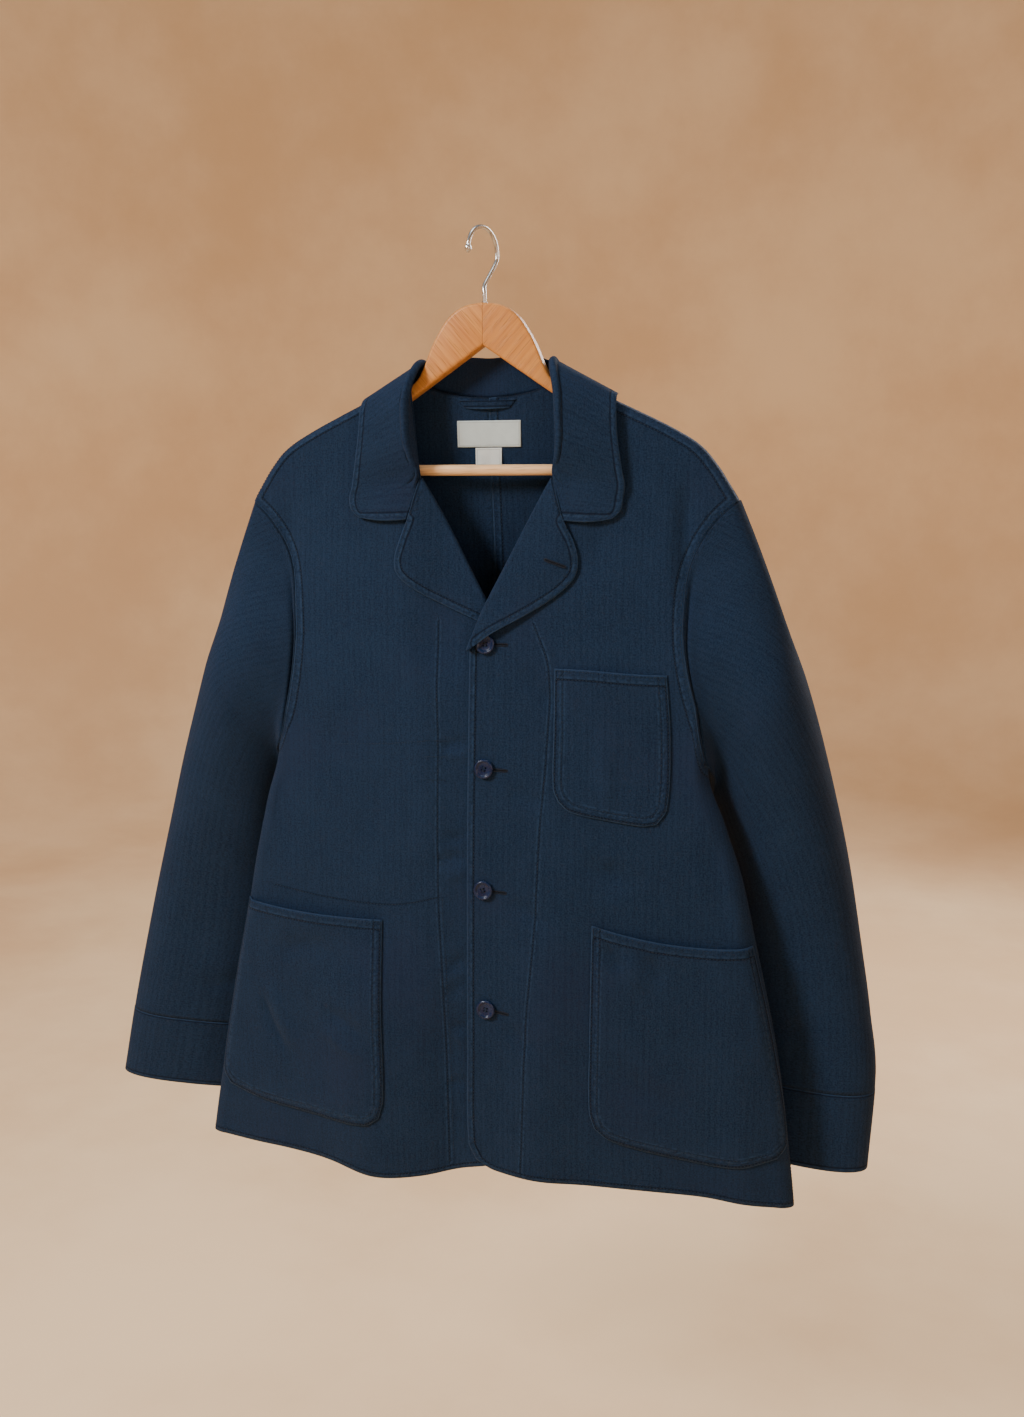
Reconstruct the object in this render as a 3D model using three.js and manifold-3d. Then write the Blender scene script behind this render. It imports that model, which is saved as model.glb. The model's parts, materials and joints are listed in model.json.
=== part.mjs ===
// A cotton work jacket, buttoned, hanging on a flat wooden hanger with a wire hook.
// Millimetres, +Z up, the jacket's front towards -Y, +X the wearer's left. The origin is
// the place inside the hook's crown that bears on a rail, so nearly all of it hangs below.
import * as THREE from "three";
import Module from "manifold-3d";
import { mergeVertices } from "three/addons/utils/BufferGeometryUtils.js";

const wasm = await Module();
wasm.setup();

// Driving sizes
const CLOTH = 1.3;
const TURNED_CLOTH = 1.6;
const SEAM_GAP = 0.4;
const SHOULDER_GAP = 1.4;
const LIE_GAP = 0.5;
const RIM_BEVEL = 1.2;
const FRONT_CENTRE_X = 10;
const BACK_CENTRE_X = 2;
const SHOULDER_CENTRE_X = 2.5;
const NECK_CENTRE_X = 6.3;
const HEM_Z = -886;
const ARMPIT_Z = -480;
const SHOULDER_HALF = 233;
const SHOULDER_ROUND = 10;
const SHOULDER_BLEND = 170;
const RIDGE_LEVEL = -235;
const ROW_ROOM = 450;
const CORNER_REACH = 20;
const LEFT_FRONT_EDGE = -15;
const RIGHT_FRONT_EDGE = -24;
const LEFT_BREAK_Z = -378;
const RIGHT_BREAK_Z = -366;
const UNDERLAP_DROP = 3.4;
const LAPEL_DROP = 7.4;
const HANGER_THICK = 14;
const HANGER_EDGE = 2.6;
const WIRE_RADIUS = 1.9;
const WIRE_SIDES = 8;
const HOOK_RADIUS = 21;

const COLOURS = {
  cloth: 0x1d2c3f,
  label: 0xc9d2d2,
  wood: 0xc08a54,
  bar: 0xdcb48c,
  steel: 0x9a9a98,
  button: 0x16233a,
};

// Small maths
const clamp = (x, low, high) => Math.min(high, Math.max(low, x));
const mix = (a, b, t) => a + (b - a) * t;
const rise = (from, to, x) => {
  const t = clamp((x - from) / (to - from), 0, 1);
  return t * t * (3 - 2 * t);
};
const vec = (x, y, z) => new THREE.Vector3(x, y, z);
const range = (n) => Array.from({ length: n }, (_, i) => i);
const even = (n) => range(n + 1).map((i) => i / n);

// Slopes that keep a run of values free of overshoot.
function slopes(xs, ys) {
  const step = range(xs.length - 1).map((i) => (ys[i + 1] - ys[i]) / (xs[i + 1] - xs[i]));
  return xs.map((_, i) => {
    if (i === 0) return step[0];
    if (i === xs.length - 1) return step[i - 1];
    const [a, b] = [step[i - 1], step[i]];
    return a * b <= 0 ? 0 : (2 * a * b) / (a + b);
  });
}

function hermite(xs, ys, ms, x) {
  const at = clamp(x, Math.min(xs[0], xs.at(-1)), Math.max(xs[0], xs.at(-1)));
  let i = 0;
  while (i < xs.length - 2 && (xs[i + 1] - at) * Math.sign(xs[1] - xs[0]) < 0) i += 1;
  const h = xs[i + 1] - xs[i];
  const t = (at - xs[i]) / h;
  const u = 1 - t;
  return (
    ys[i] * u * u * (1 + 2 * t) + ms[i] * h * t * u * u +
    ys[i + 1] * t * t * (3 - 2 * t) - ms[i + 1] * h * t * t * u
  );
}

// A table with named columns, read smoothly at any value of its first column.
function table(names, rows) {
  const keys = rows.map((row) => row[0]);
  const columns = Object.fromEntries(
    names.map((name, c) => {
      const values = rows.map((row) => row[c]);
      return [name, { values, m: slopes(keys, values) }];
    }),
  );
  return (name, at) => hermite(keys, columns[name].values, columns[name].m, at);
}

// A smooth flat line through a few points, read from 0 to 1 along its length.
function line(points) {
  const run = [0];
  points.slice(1).forEach(([x, y], i) => run.push(run[i] + Math.hypot(x - points[i][0], y - points[i][1])));
  const tangent = (c) =>
    points.map((_, i) => {
      const a = Math.max(0, i - 1);
      const b = Math.min(points.length - 1, i + 1);
      return (points[b][c] - points[a][c]) / (run[b] - run[a]);
    });
  const curves = [0, 1].map((c) => ({ values: points.map((p) => p[c]), m: tangent(c) }));
  return (t) => curves.map(({ values, m }) => hermite(run, values, m, t * run.at(-1)));
}

// Two lines end to end: the first up to the share `at`, then the second.
const joined = (first, second, at) => (t) => (t < at ? first(t / at) : second((t - at) / (1 - at)));

// The flat patch inside four edges, where bottom and top run with u, inner and outer with v.
function patch(bottom, top, inner, outer) {
  const corners = [bottom(0), bottom(1), top(0), top(1)];
  return (u, v) =>
    [0, 1].map(
      (c) =>
        mix(bottom(u)[c], top(u)[c], v) + mix(inner(v)[c], outer(v)[c], u) -
        mix(mix(corners[0][c], corners[1][c], u), mix(corners[2][c], corners[3][c], u), v),
    );
}

// Cloth walls: outer points, the same points moved in by the cloth, and a rim round the edge
function gridNormals(points, rows, columns, closed) {
  const at = (r, c) => points[r * columns + (closed ? (c + columns) % columns : clamp(c, 0, columns - 1))];
  return points.map((_, i) => {
    const [r, c] = [Math.floor(i / columns), i % columns];
    const along = at(r, c + 1).clone().sub(at(r, c - 1));
    const up = at(Math.min(rows - 1, r + 1), c).clone().sub(at(Math.max(0, r - 1), c));
    return along.cross(up).normalize();
  });
}

function wall(pointAt, columnsAt, rowsAt, { thick = CLOTH, closed = false, bevel = RIM_BEVEL } = {}) {
  const us = closed ? columnsAt.slice(0, -1) : columnsAt;
  const [columns, rows] = [us.length, rowsAt.length];
  const outer = rowsAt.flatMap((v) => us.map((u) => pointAt(u, v)));
  const normals = gridNormals(outer, rows, columns, closed);
  const inner = outer.map((p, i) => {
    const [r, c] = [Math.floor(i / columns), i % columns];
    const moved = p.clone().addScaledVector(normals[i], -thick);
    const pull = (j) => {
      const way = outer[j].clone().sub(p);
      moved.addScaledVector(way.normalize(), Math.min(bevel, 0.7 * outer[j].distanceTo(p)));
    };
    if (r === 0) pull(i + columns);
    if (r === rows - 1) pull(i - columns);
    if (!closed && c === 0) pull(i + 1);
    if (!closed && c === columns - 1) pull(i - 1);
    return moved;
  });
  const count = outer.length;
  const faces = [];
  const quad = (a, b, c, d) => faces.push(a, b, c, a, c, d);
  const index = (r, c) => r * columns + (closed ? c % columns : c);
  const spans = closed ? columns : columns - 1;
  for (const r of range(rows - 1))
    for (const c of range(spans)) {
      const [a, b, d, e] = [index(r, c), index(r, c + 1), index(r + 1, c + 1), index(r + 1, c)];
      quad(a, b, d, e);
      quad(count + a, count + e, count + d, count + b);
    }
  for (const c of range(spans)) {
    const [a, b] = [index(0, c), index(0, c + 1)];
    const [d, e] = [index(rows - 1, c), index(rows - 1, c + 1)];
    quad(a, count + a, count + b, b);
    quad(d, e, count + e, count + d);
  }
  if (!closed)
    for (const r of range(rows - 1)) {
      const [a, b] = [index(r, 0), index(r + 1, 0)];
      const [d, e] = [index(r, columns - 1), index(r + 1, columns - 1)];
      quad(a, b, count + b, count + a);
      quad(d, count + d, count + e, e);
    }
  const geometry = new THREE.BufferGeometry();
  const all = [...outer, ...inner].flatMap((p) => [p.x, p.y, p.z]);
  geometry.setAttribute("position", new THREE.Float32BufferAttribute(all, 3));
  geometry.setIndex(faces);
  geometry.computeVertexNormals();
  return geometry;
}

// The jacket's surface. A place on it is (across, z): across is the distance from the
// centre line, round the front edge of the side where the cloth turns back to the seam.
const SECTIONS = table(
  ["z", "half", "lean", "front", "edge", "back", "tuck"],
  [
    [-910, 306, -7, 39, 15, 39, 4],
    [-860, 299, -5, 41, 18, 41, 5],
    [-740, 279, -1, 43, 23, 45, 7],
    [-640, 258, 0, 42, 27, 47, 11],
    [-583, 246, 0, 41, 30, 47, 15],
    [-530, 231, -2, 39, 31, 46, 21],
    [-478, 216, -4, 36, 30, 44, 26],
    [-400, 220, -2, 31, 27, 40, 26],
    [-330, 232, 0, 25, 20, 34, 26],
    [-237, 258, 0, 18, 13, 24, 26],
    [-110, 258, 0, 15, 11, 17, 26],
  ],
);
const SHOULDER = table(
  ["across", "z"],
  [
    [0, -98], [60, -122], [115, -149], [186, -184], [200, -194], [213, -209], [225, -227], [233, -240],
    [246, -264],
  ],
);
const BACK_HALF = table(
  ["z", "extra"],
  [[-480, 0], [-440, 24], [-400, 42], [-300, 58], [-237, 66], [-110, 66]],
);
// Soft troughs (minus) and ridges (plus): where each starts and ends, its width and height.
const FOLD_NAMES = ["side", "face", "across0", "z0", "across1", "z1", "width", "height"];
const FOLDS = [
  [1, -1, 187, -212, 188, -350, 9, -5],
  [-1, -1, 196, -230, 190, -350, 12, -3],
  [-1, -1, 120, -640, 124, -905, 46, 8],
  [-1, -1, 36, -700, 30, -905, 26, -6],
  [1, -1, 70, -560, 52, -905, 30, 5],
  [1, -1, 225, -560, 252, -905, 26, 4],
  [1, 1, 120, -330, 150, -905, 34, 9],
  [-1, 1, 105, -330, 140, -905, 36, 10],
  [1, 1, 40, -420, 62, -905, 28, -7],
  [-1, 1, 48, -400, 70, -905, 28, -6],
].map((row) => Object.fromEntries(FOLD_NAMES.map((name, i) => [name, row[i]])));

function foldHeight(side, face, across, z) {
  let height = 0;
  for (const f of FOLDS) {
    if (f.side !== side || f.face !== face) continue;
    const [dx, dz] = [f.across1 - f.across0, f.z1 - f.z0];
    const length = Math.hypot(dx, dz);
    const t = ((across - f.across0) * dx + (z - f.z0) * dz) / (length * length);
    const away = Math.abs((across - f.across0) * dz - (z - f.z0) * dx) / length;
    const ends = rise(-0.05, 0.35, t) * (f.z1 < HEM_Z ? 1 : 1 - rise(0.6, 1.05, t));
    height += f.height * ends * Math.exp(-((away / f.width) ** 2));
  }
  return height;
}

const shoulderZ = (x) => SHOULDER("z", Math.abs(x - SHOULDER_CENTRE_X));

// How far the cloth stands out at a place: it rounds over the hanger's arm at the top.
function standOut(full, below) {
  const d = clamp(below, 0, SHOULDER_ROUND);
  const round = Math.sqrt(SHOULDER_ROUND ** 2 - (SHOULDER_ROUND - d) ** 2);
  return round + (full - SHOULDER_ROUND) * rise(-20, SHOULDER_BLEND, below - SHOULDER_ROUND) *
    rise(0, SHOULDER_ROUND, below);
}

// The turn at the side of a front: how long the cloth is from the turn's start to the seam.
function cornerLength(z) {
  const deep = SECTIONS("edge", z);
  return (Math.PI / 2) * Math.sqrt((CORNER_REACH ** 2 + deep ** 2) / 2) + SECTIONS("tuck", z);
}
const turnAcross = (side, z) => SECTIONS("half", z) + side * SECTIONS("lean", z) - CORNER_REACH;
const seamAcross = (side, z) => turnAcross(side, z) + cornerLength(z);

function frontPlace(side, across, z) {
  const turn = turnAcross(side, z);
  const flat = Math.min(across, turn);
  const c = clamp((across - turn) / cornerLength(z), 0, 1);
  const angle = (c * Math.PI) / 2;
  const tuck = SECTIONS("tuck", z) * clamp(c * 2 - 1, 0, 1) ** 1.4;
  const reach = flat + CORNER_REACH * Math.sin(angle) - tuck;
  const top = rise(-480, -300, z);
  const outwards = 1 - (1 - clamp(across / SHOULDER_HALF, 0, 1)) ** 2;
  const x = mix(FRONT_CENTRE_X, SHOULDER_CENTRE_X, top * outwards) + side * reach;
  const [full, edge] = [SECTIONS("front", z), SECTIONS("edge", z)];
  const bow = full - (full - edge) * (flat / turn) ** 2;
  const deep = standOut(bow, shoulderZ(x) - z) * Math.cos(angle);
  return [x, -(deep + foldHeight(side, -1, across, z) * Math.cos(angle)), z];
}

// The place where a side's front and back meet, at a height.
const seamPlace = (side, z) => frontPlace(side, seamAcross(side, z), z);
const backHalf = (side, z) =>
  Math.abs(seamPlace(side, Math.min(z, ARMPIT_Z))[0] - BACK_CENTRE_X) + BACK_HALF("extra", z);

function backPlace(side, across, z) {
  const share = clamp(across / backHalf(side, z), 0, 1);
  const x = BACK_CENTRE_X + side * across;
  const lens = SECTIONS("back", z) * (1 - share ** 2) ** 0.75;
  const shape = standOut(lens, shoulderZ(x) - z);
  return [x, shape + foldHeight(side, 1, across, z) * (1 - share ** 4), z];
}

// The right front dips behind the left one where they overlap, and more under the lapels.
function underlap(across, z) {
  const drop = mix(UNDERLAP_DROP, LAPEL_DROP, rise(-420, -370, z));
  const reach = mix(16, 34, rise(-420, -370, z));
  return drop * (1 - rise(reach, reach + 50, across)) * rise(-205, -260, z);
}

function frontPoint(side, across, z) {
  const [x, y] = frontPlace(side, across, z);
  return vec(x, side < 0 ? y + underlap(across, z) : y, z);
}
const backPoint = (side, across, z) => vec(...backPlace(side, across, z));

// A point moved out from a surface by a lift, along the surface's own normal.
function lifted(surface, side, across, z, lift) {
  const step = 1.5;
  const out = surface === frontPoint ? -side : side;
  const along = surface(side, across + step, z).sub(surface(side, across - step, z));
  const up = surface(side, across, z + step).sub(surface(side, across, z - step));
  const normal = along.cross(up).normalize().multiplyScalar(-out);
  return surface(side, across, z).addScaledVector(normal, lift);
}

// Outlines of the fronts, as (across, z)
const NECK = [74, -127.5];
const GORGE = [63, -221];
const ROLL_V = [0, -340];
const NOTCH = [75.5, -259];
const GORGE_GAP = 0.3;
const ROUND_HEM = 26;

// The fronts' hems, by the distance from the centre line
const HEM = table(
  ["across", "left", "right"],
  [
    [-30, -881, -882.5],
    [0, -881, -882.5],
    [22, -883.3, -889],
    [50, -885.7, -897],
    [90, -886.2, -904.5],
    [117, -886, -906.6],
    [140, -886, -903],
    [165, -886, -898.5],
    [200, -886.3, -897.2],
    [245, -889.6, -897.6],
    [300, -893, -897],
    [320, -893, -897],
  ],
);
const hemZ = (side, across) => HEM(side > 0 ? "left" : "right", across);

// The shares of a front's inner edge where the roll line starts, and where it ends.
const BREAK_SHARE = 0.65;
const GORGE_SHARE = (0.9 - BREAK_SHARE) / (1 - BREAK_SHARE);
const frontEdge = (side) => (side > 0 ? LEFT_FRONT_EDGE : RIGHT_FRONT_EDGE);
const breakHeight = (side) => (side > 0 ? LEFT_BREAK_Z : RIGHT_BREAK_Z);
const rollLine = (side) =>
  line([
    [frontEdge(side), breakHeight(side)],
    [frontEdge(side) * 0.45, mix(ROLL_V[1], breakHeight(side), 0.45)],
    ROLL_V, [32, -280], GORGE,
  ]);

function frontOutline(side) {
  const edge = frontEdge(side);
  const corner = ROUND_HEM * 0.3;
  const low = hemZ(side, 0);
  const breakZ = breakHeight(side);
  const seamEnd = seamAcross(side, HEM_Z) - SEAM_GAP / 2;
  const hemPoints = [edge + corner, edge + ROUND_HEM, 60, 110, 160, 210, 250, 285].map((across, i) => [
    across, i === 0 ? low + corner : hemZ(side, across),
  ]);
  const bottom = line([...hemPoints, [seamEnd, hemZ(side, 300)]]);
  const placket = line([
    [edge + corner, low + corner], [edge, low + ROUND_HEM], [edge, -760], [edge, -600], [edge, -460],
    [edge, breakZ],
  ]);
  const neck = line([GORGE, [66.5, -196], [70, -165], [72.5, -142], [...NECK]]);
  const inner = joined(placket, joined(rollLine(side), neck, GORGE_SHARE), BREAK_SHARE);
  const seamZs = [hemZ(side, 300), -820, -740, -660, -590, -535, ARMPIT_Z];
  const seam = line(seamZs.map((z) => [seamAcross(side, z) - SEAM_GAP / 2, z]));
  const turn = turnAcross(side, ARMPIT_Z);
  const armhole = line([
    [seamAcross(side, ARMPIT_Z) - SEAM_GAP / 2, ARMPIT_Z], [turn + cornerLength(ARMPIT_Z) * 0.42, -474],
    [206, -453], [194, -415], [187, -373], [187, -335], [191, -302], [200, -279], [215, -257],
    [SHOULDER_HALF, shoulderTopZ(side, -1, SHOULDER_HALF)],
  ]);
  const top = line(
    [NECK[0], 100, 130, 160, 186, 200, 213, 224, SHOULDER_HALF].map((across) => [
      across, shoulderTopZ(side, -1, across),
    ]),
  );
  return { bottom, top, inner: pinned(inner, top(0)), seam, armhole };
}

// The shoulder ridge over a place, and the seam's edge half a gap down the round from it.
const ridgeZ = (side, face, across) =>
  shoulderZ(face < 0 ? frontPlace(side, across, RIDGE_LEVEL)[0] : BACK_CENTRE_X + side * across);
const RIDGE_DROP = (SHOULDER_GAP / 2) ** 2 / (2 * SHOULDER_ROUND);
const shoulderTopZ = (side, face, across) => ridgeZ(side, face, across) - RIDGE_DROP;

// A panel's patch, with its upper rows kept in order under the ridge.
function panel(side, face, { bottom, top, inner, seam, armhole }) {
  const place = patch(bottom, top, inner, joined(seam, armhole, SEAM_SHARE));
  return (u, v) => {
    const [across, z] = place(u, v);
    const highest = shoulderTopZ(side, face, across) - ROW_ROOM * (1 - v);
    return [across, across > SHOULDER_HALF + 1 ? z : Math.min(z, highest)];
  };
}

// A line whose last point is moved to meet a corner exactly.
function pinned(curve, end) {
  const last = curve(1);
  return (t) => curve(t).map((value, c) => value + (end[c] - last[c]) * t ** 8);
}

const ROWS_LOW = even(9).map((t) => t * 0.52);
const ROWS_HIGH = [0.545, 0.575, 0.61, 0.65, 0.7, 0.75, 0.8, 0.85, 0.9, 0.94, 0.968, 0.985, 0.9935, 0.998, 1];
const FRONT_ROWS = [...ROWS_LOW, ...ROWS_HIGH];
const FRONT_COLUMNS = [
  0, 0.04, 0.09, 0.15, 0.22, 0.31, 0.4, 0.49, 0.58, 0.67, 0.75, 0.81, 0.85, 0.885, 0.92, 0.955, 0.98, 1,
];
const BACK_COLUMNS = [0, 0.1, 0.2, 0.27, 0.31, 0.33, 0.34, 0.46, 0.58, 0.7, 0.8, 0.88, 0.94, 1];
const SEAM_SHARE = 0.52;

const turned = (side, us) => (side > 0 ? us : [...us].reverse());

function makeFront(side) {
  const place = panel(side, -1, frontOutline(side));
  return wall((u, v) => frontPoint(side, ...place(u, v)), turned(side, FRONT_COLUMNS), FRONT_ROWS);
}

function backOutline(side) {
  const seamX = (z) => Math.abs(seamPlace(side, z)[0] - BACK_CENTRE_X) - 0.05;
  const low = HEM_Z - 6;
  const middle = SEAM_GAP / 2;
  const shoulderTip = Math.abs(frontPlace(side, SHOULDER_HALF, -237)[0] - BACK_CENTRE_X);
  const neck = Math.abs(frontPlace(side, NECK[0], NECK[1])[0] - BACK_CENTRE_X);
  const seamZs = [low - 2, -820, -740, -660, -590, -535, ARMPIT_Z];
  const neckline = line([
    [middle, -147], [24, -145.4], [46, -141], [64, -134], [neck, shoulderTopZ(side, 1, neck)],
  ]);
  const shoulder = line(
    [0, 0.2, 0.4, 0.6, 0.75, 0.84, 0.92, 1].map((t) => {
      const across = mix(neck, shoulderTip, t);
      return [across, shoulderTopZ(side, 1, across)];
    }),
  );
  return {
    bottom: line(even(6).map((t) => [mix(middle, seamX(low), t), low - 2 * t])),
    top: joined(neckline, shoulder, 0.34),
    inner: line([[middle, low], [middle, -700], [middle, -500], [middle, -300], [middle, -147]]),
    seam: line(seamZs.map((z) => [seamX(z), z])),
    armhole: line([
      [seamX(ARMPIT_Z), ARMPIT_Z], [203, -462], [204, -430], [200, -380], [200, -335], [204, -295], [214, -265],
      [shoulderTip, shoulderTopZ(side, 1, shoulderTip)],
    ]),
  };
}

// The back's cut ends a little behind the side seam, so that it clears the front's edge.
function backSeamPoint(side, across, z) {
  const p = backPoint(side, across, z);
  const near = rise(0.86, 1, across / backHalf(side, z)) * (1 - rise(ARMPIT_Z, ARMPIT_Z + 40, z));
  p.y += SEAM_GAP * 1.5 * near;
  return p;
}

function makeBack(side) {
  const place = panel(side, 1, backOutline(side));
  return wall((u, v) => backSeamPoint(side, ...place(u, v)), turned(-side, BACK_COLUMNS), FRONT_ROWS);
}

// Sleeves: rings from the armhole to the cuff. Each ring has an outer and an inner point,
// and a half depth between them.
const RING_NAMES = ["ring", "outerX", "outerY", "outerZ", "innerX", "innerY", "innerZ", "deep"];
const SLEEVES = {
  "-1": table(RING_NAMES, [
    [0, 231, 0, -240, 186, 2, -482, 42],
    [1, 250, 0, -290, 200, 14, -494, 44],
    [2, 274, 3, -360, 209, 27, -513, 43],
    [3, 300, 8, -430, 213, 35, -540, 41],
    [4, 325, 14, -500, 216, 41, -574, 38],
    [5, 347, 20, -570, 222, 46, -616, 35],
    [6, 369, 26, -640, 231, 50, -666, 31],
    [7, 389, 30, -710, 243, 52, -724, 27],
    [8, 406, 32, -775, 257, 52, -786, 23],
    [9, 426, 34, -862, 276, 52, -872, 19],
  ]),
  "1": table(RING_NAMES, [
    [0, 235, 0, -240, 203, 2, -482, 42],
    [1, 256, 0, -290, 212, 17, -496, 44],
    [2, 282, 3, -360, 215, 33, -517, 43],
    [3, 304, 8, -430, 220, 42, -545, 41],
    [4, 322, 14, -500, 228, 47, -578, 38],
    [5, 338, 20, -570, 234, 51, -618, 35],
    [6, 351, 26, -640, 237, 54, -666, 31],
    [7, 363, 30, -710, 237, 56, -720, 27],
    [8, 371, 32, -775, 235, 57, -781, 23],
    [9, 367, 34, -866, 231, 58, -872, 19],
  ]),
};
const CUFF_RING = 8.15;
const SLEEVE_SQUARE = 0.9;
const SLEEVE_TAPER = 0.3;

function ringPoint(side, ring, angle) {
  const get = (name) => SLEEVES[side](name, ring);
  const outer = vec(side * get("outerX"), get("outerY"), get("outerZ"));
  const inner = vec(side * get("innerX"), get("innerY"), get("innerZ"));
  const middle = outer.clone().add(inner).multiplyScalar(0.5);
  const half = outer.clone().sub(inner).multiplyScalar(0.5);
  const front = vec(0, -1, 0).addScaledVector(half, half.y / half.lengthSq()).normalize();
  const power = (w) => Math.sign(w) * Math.abs(w) ** SLEEVE_SQUARE;
  return middle
    .addScaledVector(half, power(Math.cos(angle)))
    .addScaledVector(front, get("deep") * (1 + SLEEVE_TAPER * Math.cos(angle)) * power(Math.sin(angle)));
}

// The armhole's closed line: from the shoulder tip down the front, and up the back.
function armholePoint(side, turn) {
  const front = frontOutline(side).armhole;
  const back = backOutline(side).armhole;
  return turn < 0.5
    ? frontPoint(side, ...front(1 - turn * 2))
    : backSeamPoint(side, ...back(turn * 2 - 1));
}

function sleevePoint(side, turn, ring) {
  const angle = turn * Math.PI * 2;
  const p = ringPoint(side, ring, angle);
  const fade = 1 - rise(0, 2.6, ring);
  if (fade > 0) p.add(armholePoint(side, turn).sub(ringPoint(side, 0, angle)).multiplyScalar(fade));
  return p;
}

const SLEEVE_TURNS = even(22);
const SLEEVE_RINGS = [0.02, 0.2, 0.5, 0.9, 1.4, 2, 2.7, 3.4, 4.2, 5, 5.8, 6.6, 7.4, CUFF_RING];
const sleeveTurns = (side) => turned(side, SLEEVE_TURNS);

// The first ring stands clear of the armhole, more so under the arm.
function sleeveStart(turn, ring) {
  const under = (1 - Math.cos(turn * Math.PI * 2)) / 2;
  return Math.max(ring, mix(0.035, 0.16, under));
}

function makeSleeve(side) {
  const rings = [...SLEEVE_RINGS].reverse();
  const point = (u, v) => sleevePoint(side, u, sleeveStart(u, v));
  return wall(point, sleeveTurns(side), rings, { closed: true });
}

function makeCuff(side) {
  const rings = [9, 8.6, CUFF_RING + 0.006];
  return wall((u, v) => sleevePoint(side, u, v), sleeveTurns(side), rings, {
    closed: true, thick: TURNED_CLOTH, bevel: 0.5,
  });
}

// Lapels: the cloth turns round the front's edge at the roll line and lies on the front.
const ROLL_RADIUS = 3.3;
const LAPEL_CLOTH = 1.5;
const FACING_TAB = 7;
const LAPEL_OVER_BUTTON = 4.6;
const LAPEL_TOP = [64, -222];
const LAPEL_BELLY = 2.2;
// The lapels' free edges, from the foot of the roll line to the notch, as (across, z)
const LAPEL_RIM = {
  [1]: [[-5, -370], [8, -361], [40, -344], [71, -325], [86.5, -310], [90, -297], [86, -279]],
  [-1]: [[-18, -363], [8, -351], [40, -337], [67, -323], [82.5, -310], [86, -297], [82, -279]],
};

function lapelPlace(side) {
  const edge = frontEdge(side);
  const breakZ = breakHeight(side);
  const roll = rollLine(side);
  const rim = line([...LAPEL_RIM[side], [NOTCH[0] - GORGE_GAP, NOTCH[1]]]);
  const bottom = line([[edge, breakZ], LAPEL_RIM[side][0]]);
  const top = line([LAPEL_TOP, [NOTCH[0] - GORGE_GAP, NOTCH[1]]]);
  return patch(bottom, top, pinned(roll, top(0)), rim);
}

function makeLapel(side) {
  const place = lapelPlace(side);
  const outward = [0.12, 0.3, 0.5, 0.7, 0.86, 1];
  const columns = [-3, -2, -1.5, -1, -0.5, 0, ...outward];
  const point = (u, v) => {
    const at = Math.max(0, u);
    const [across, z] = place(at, v);
    const proud = (side > 0 ? LAPEL_OVER_BUTTON : 0) * (1 - rise(0, 0.5, v));
    const lift = ROLL_RADIUS - CLOTH / 2 + proud + LAPEL_BELLY * Math.sin(Math.PI * at) * v;
    if (u >= 0) return lifted(frontPoint, side, across, z, lift);
    const edge = frontPoint(side, across, z);
    const out = lifted(frontPoint, side, across, z, 1).sub(edge).normalize();
    const away = frontPoint(side, across - 3, z + 2).sub(edge);
    away.addScaledVector(out, -away.dot(out)).normalize();
    const middle = edge.clone().addScaledVector(out, (proud - CLOTH) / 2);
    const reach = ROLL_RADIUS + proud / 2;
    if (u <= -3) return middle.addScaledVector(out, -reach).addScaledVector(away, -FACING_TAB * (1 - 0.8 * v));
    const angle = Math.PI * 0.5 * -u;
    return middle
      .addScaledVector(out, reach * Math.cos(angle))
      .addScaledVector(away, ROLL_RADIUS * Math.sin(angle));
  };
  return wall(point, turned(side, columns), even(10), { thick: LAPEL_CLOTH, bevel: 0.3 });
}

// Patch pockets, as (across, z) outlines on a front
const POCKETS = {
  chest_pocket: {
    side: 1, rows: 7, lift: 0.6,
    inner: [[72, -513], [67, -500], [67, -450], [68, -391]],
    outer: [[163, -529], [172, -514], [174, -450], [172, -394]],
    bottom: [[72, -513], [84, -522], [120, -528], [150, -531], [163, -529]],
    top: [[68, -391], [100, -391.5], [140, -393.5], [172, -394]],
  },
  hip_pocket_left: {
    side: 1, rows: 10, lift: 1.6,
    inner: [[109, -826], [104, -808], [104, -740], [105, -627]],
    outer: [[279, -842], [291, -826], [278, -735], [258, -638]],
    bottom: [[109, -826], [124, -837], [180, -848], [240, -853], [279, -842]],
    top: [[105, -627], [140, -634], [180, -639], [220, -640], [258, -638]],
  },
  hip_pocket_right: {
    side: -1, rows: 10, lift: 1.6,
    inner: [[106, -842], [101, -822], [101, -740], [101, -640]],
    outer: [[280, -838], [291, -820], [278, -735], [258, -634]],
    bottom: [[106, -842], [122, -852], [180, -852], [240, -848], [280, -838]],
    top: [[101, -640], [140, -640], [180, -639], [220, -637], [258, -634]],
  },
};
const POCKET_COLUMNS = [0, 0.08, 0.22, 0.36, 0.5, 0.62, 0.74, 0.84, 0.92, 0.97, 1];

function makePocket({ side, rows, lift, inner, outer, bottom, top }) {
  const place = patch(line(bottom), line(top), line(inner), line(outer));
  const point = (u, v) => {
    const puff = 2.4 * Math.sin(Math.PI * u) * rise(0.2, 1, v);
    return lifted(frontPoint, side, ...place(u, v), CLOTH + lift + puff);
  };
  return wall(point, turned(side, POCKET_COLUMNS), even(rows), { bevel: 0.2 });
}

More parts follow.
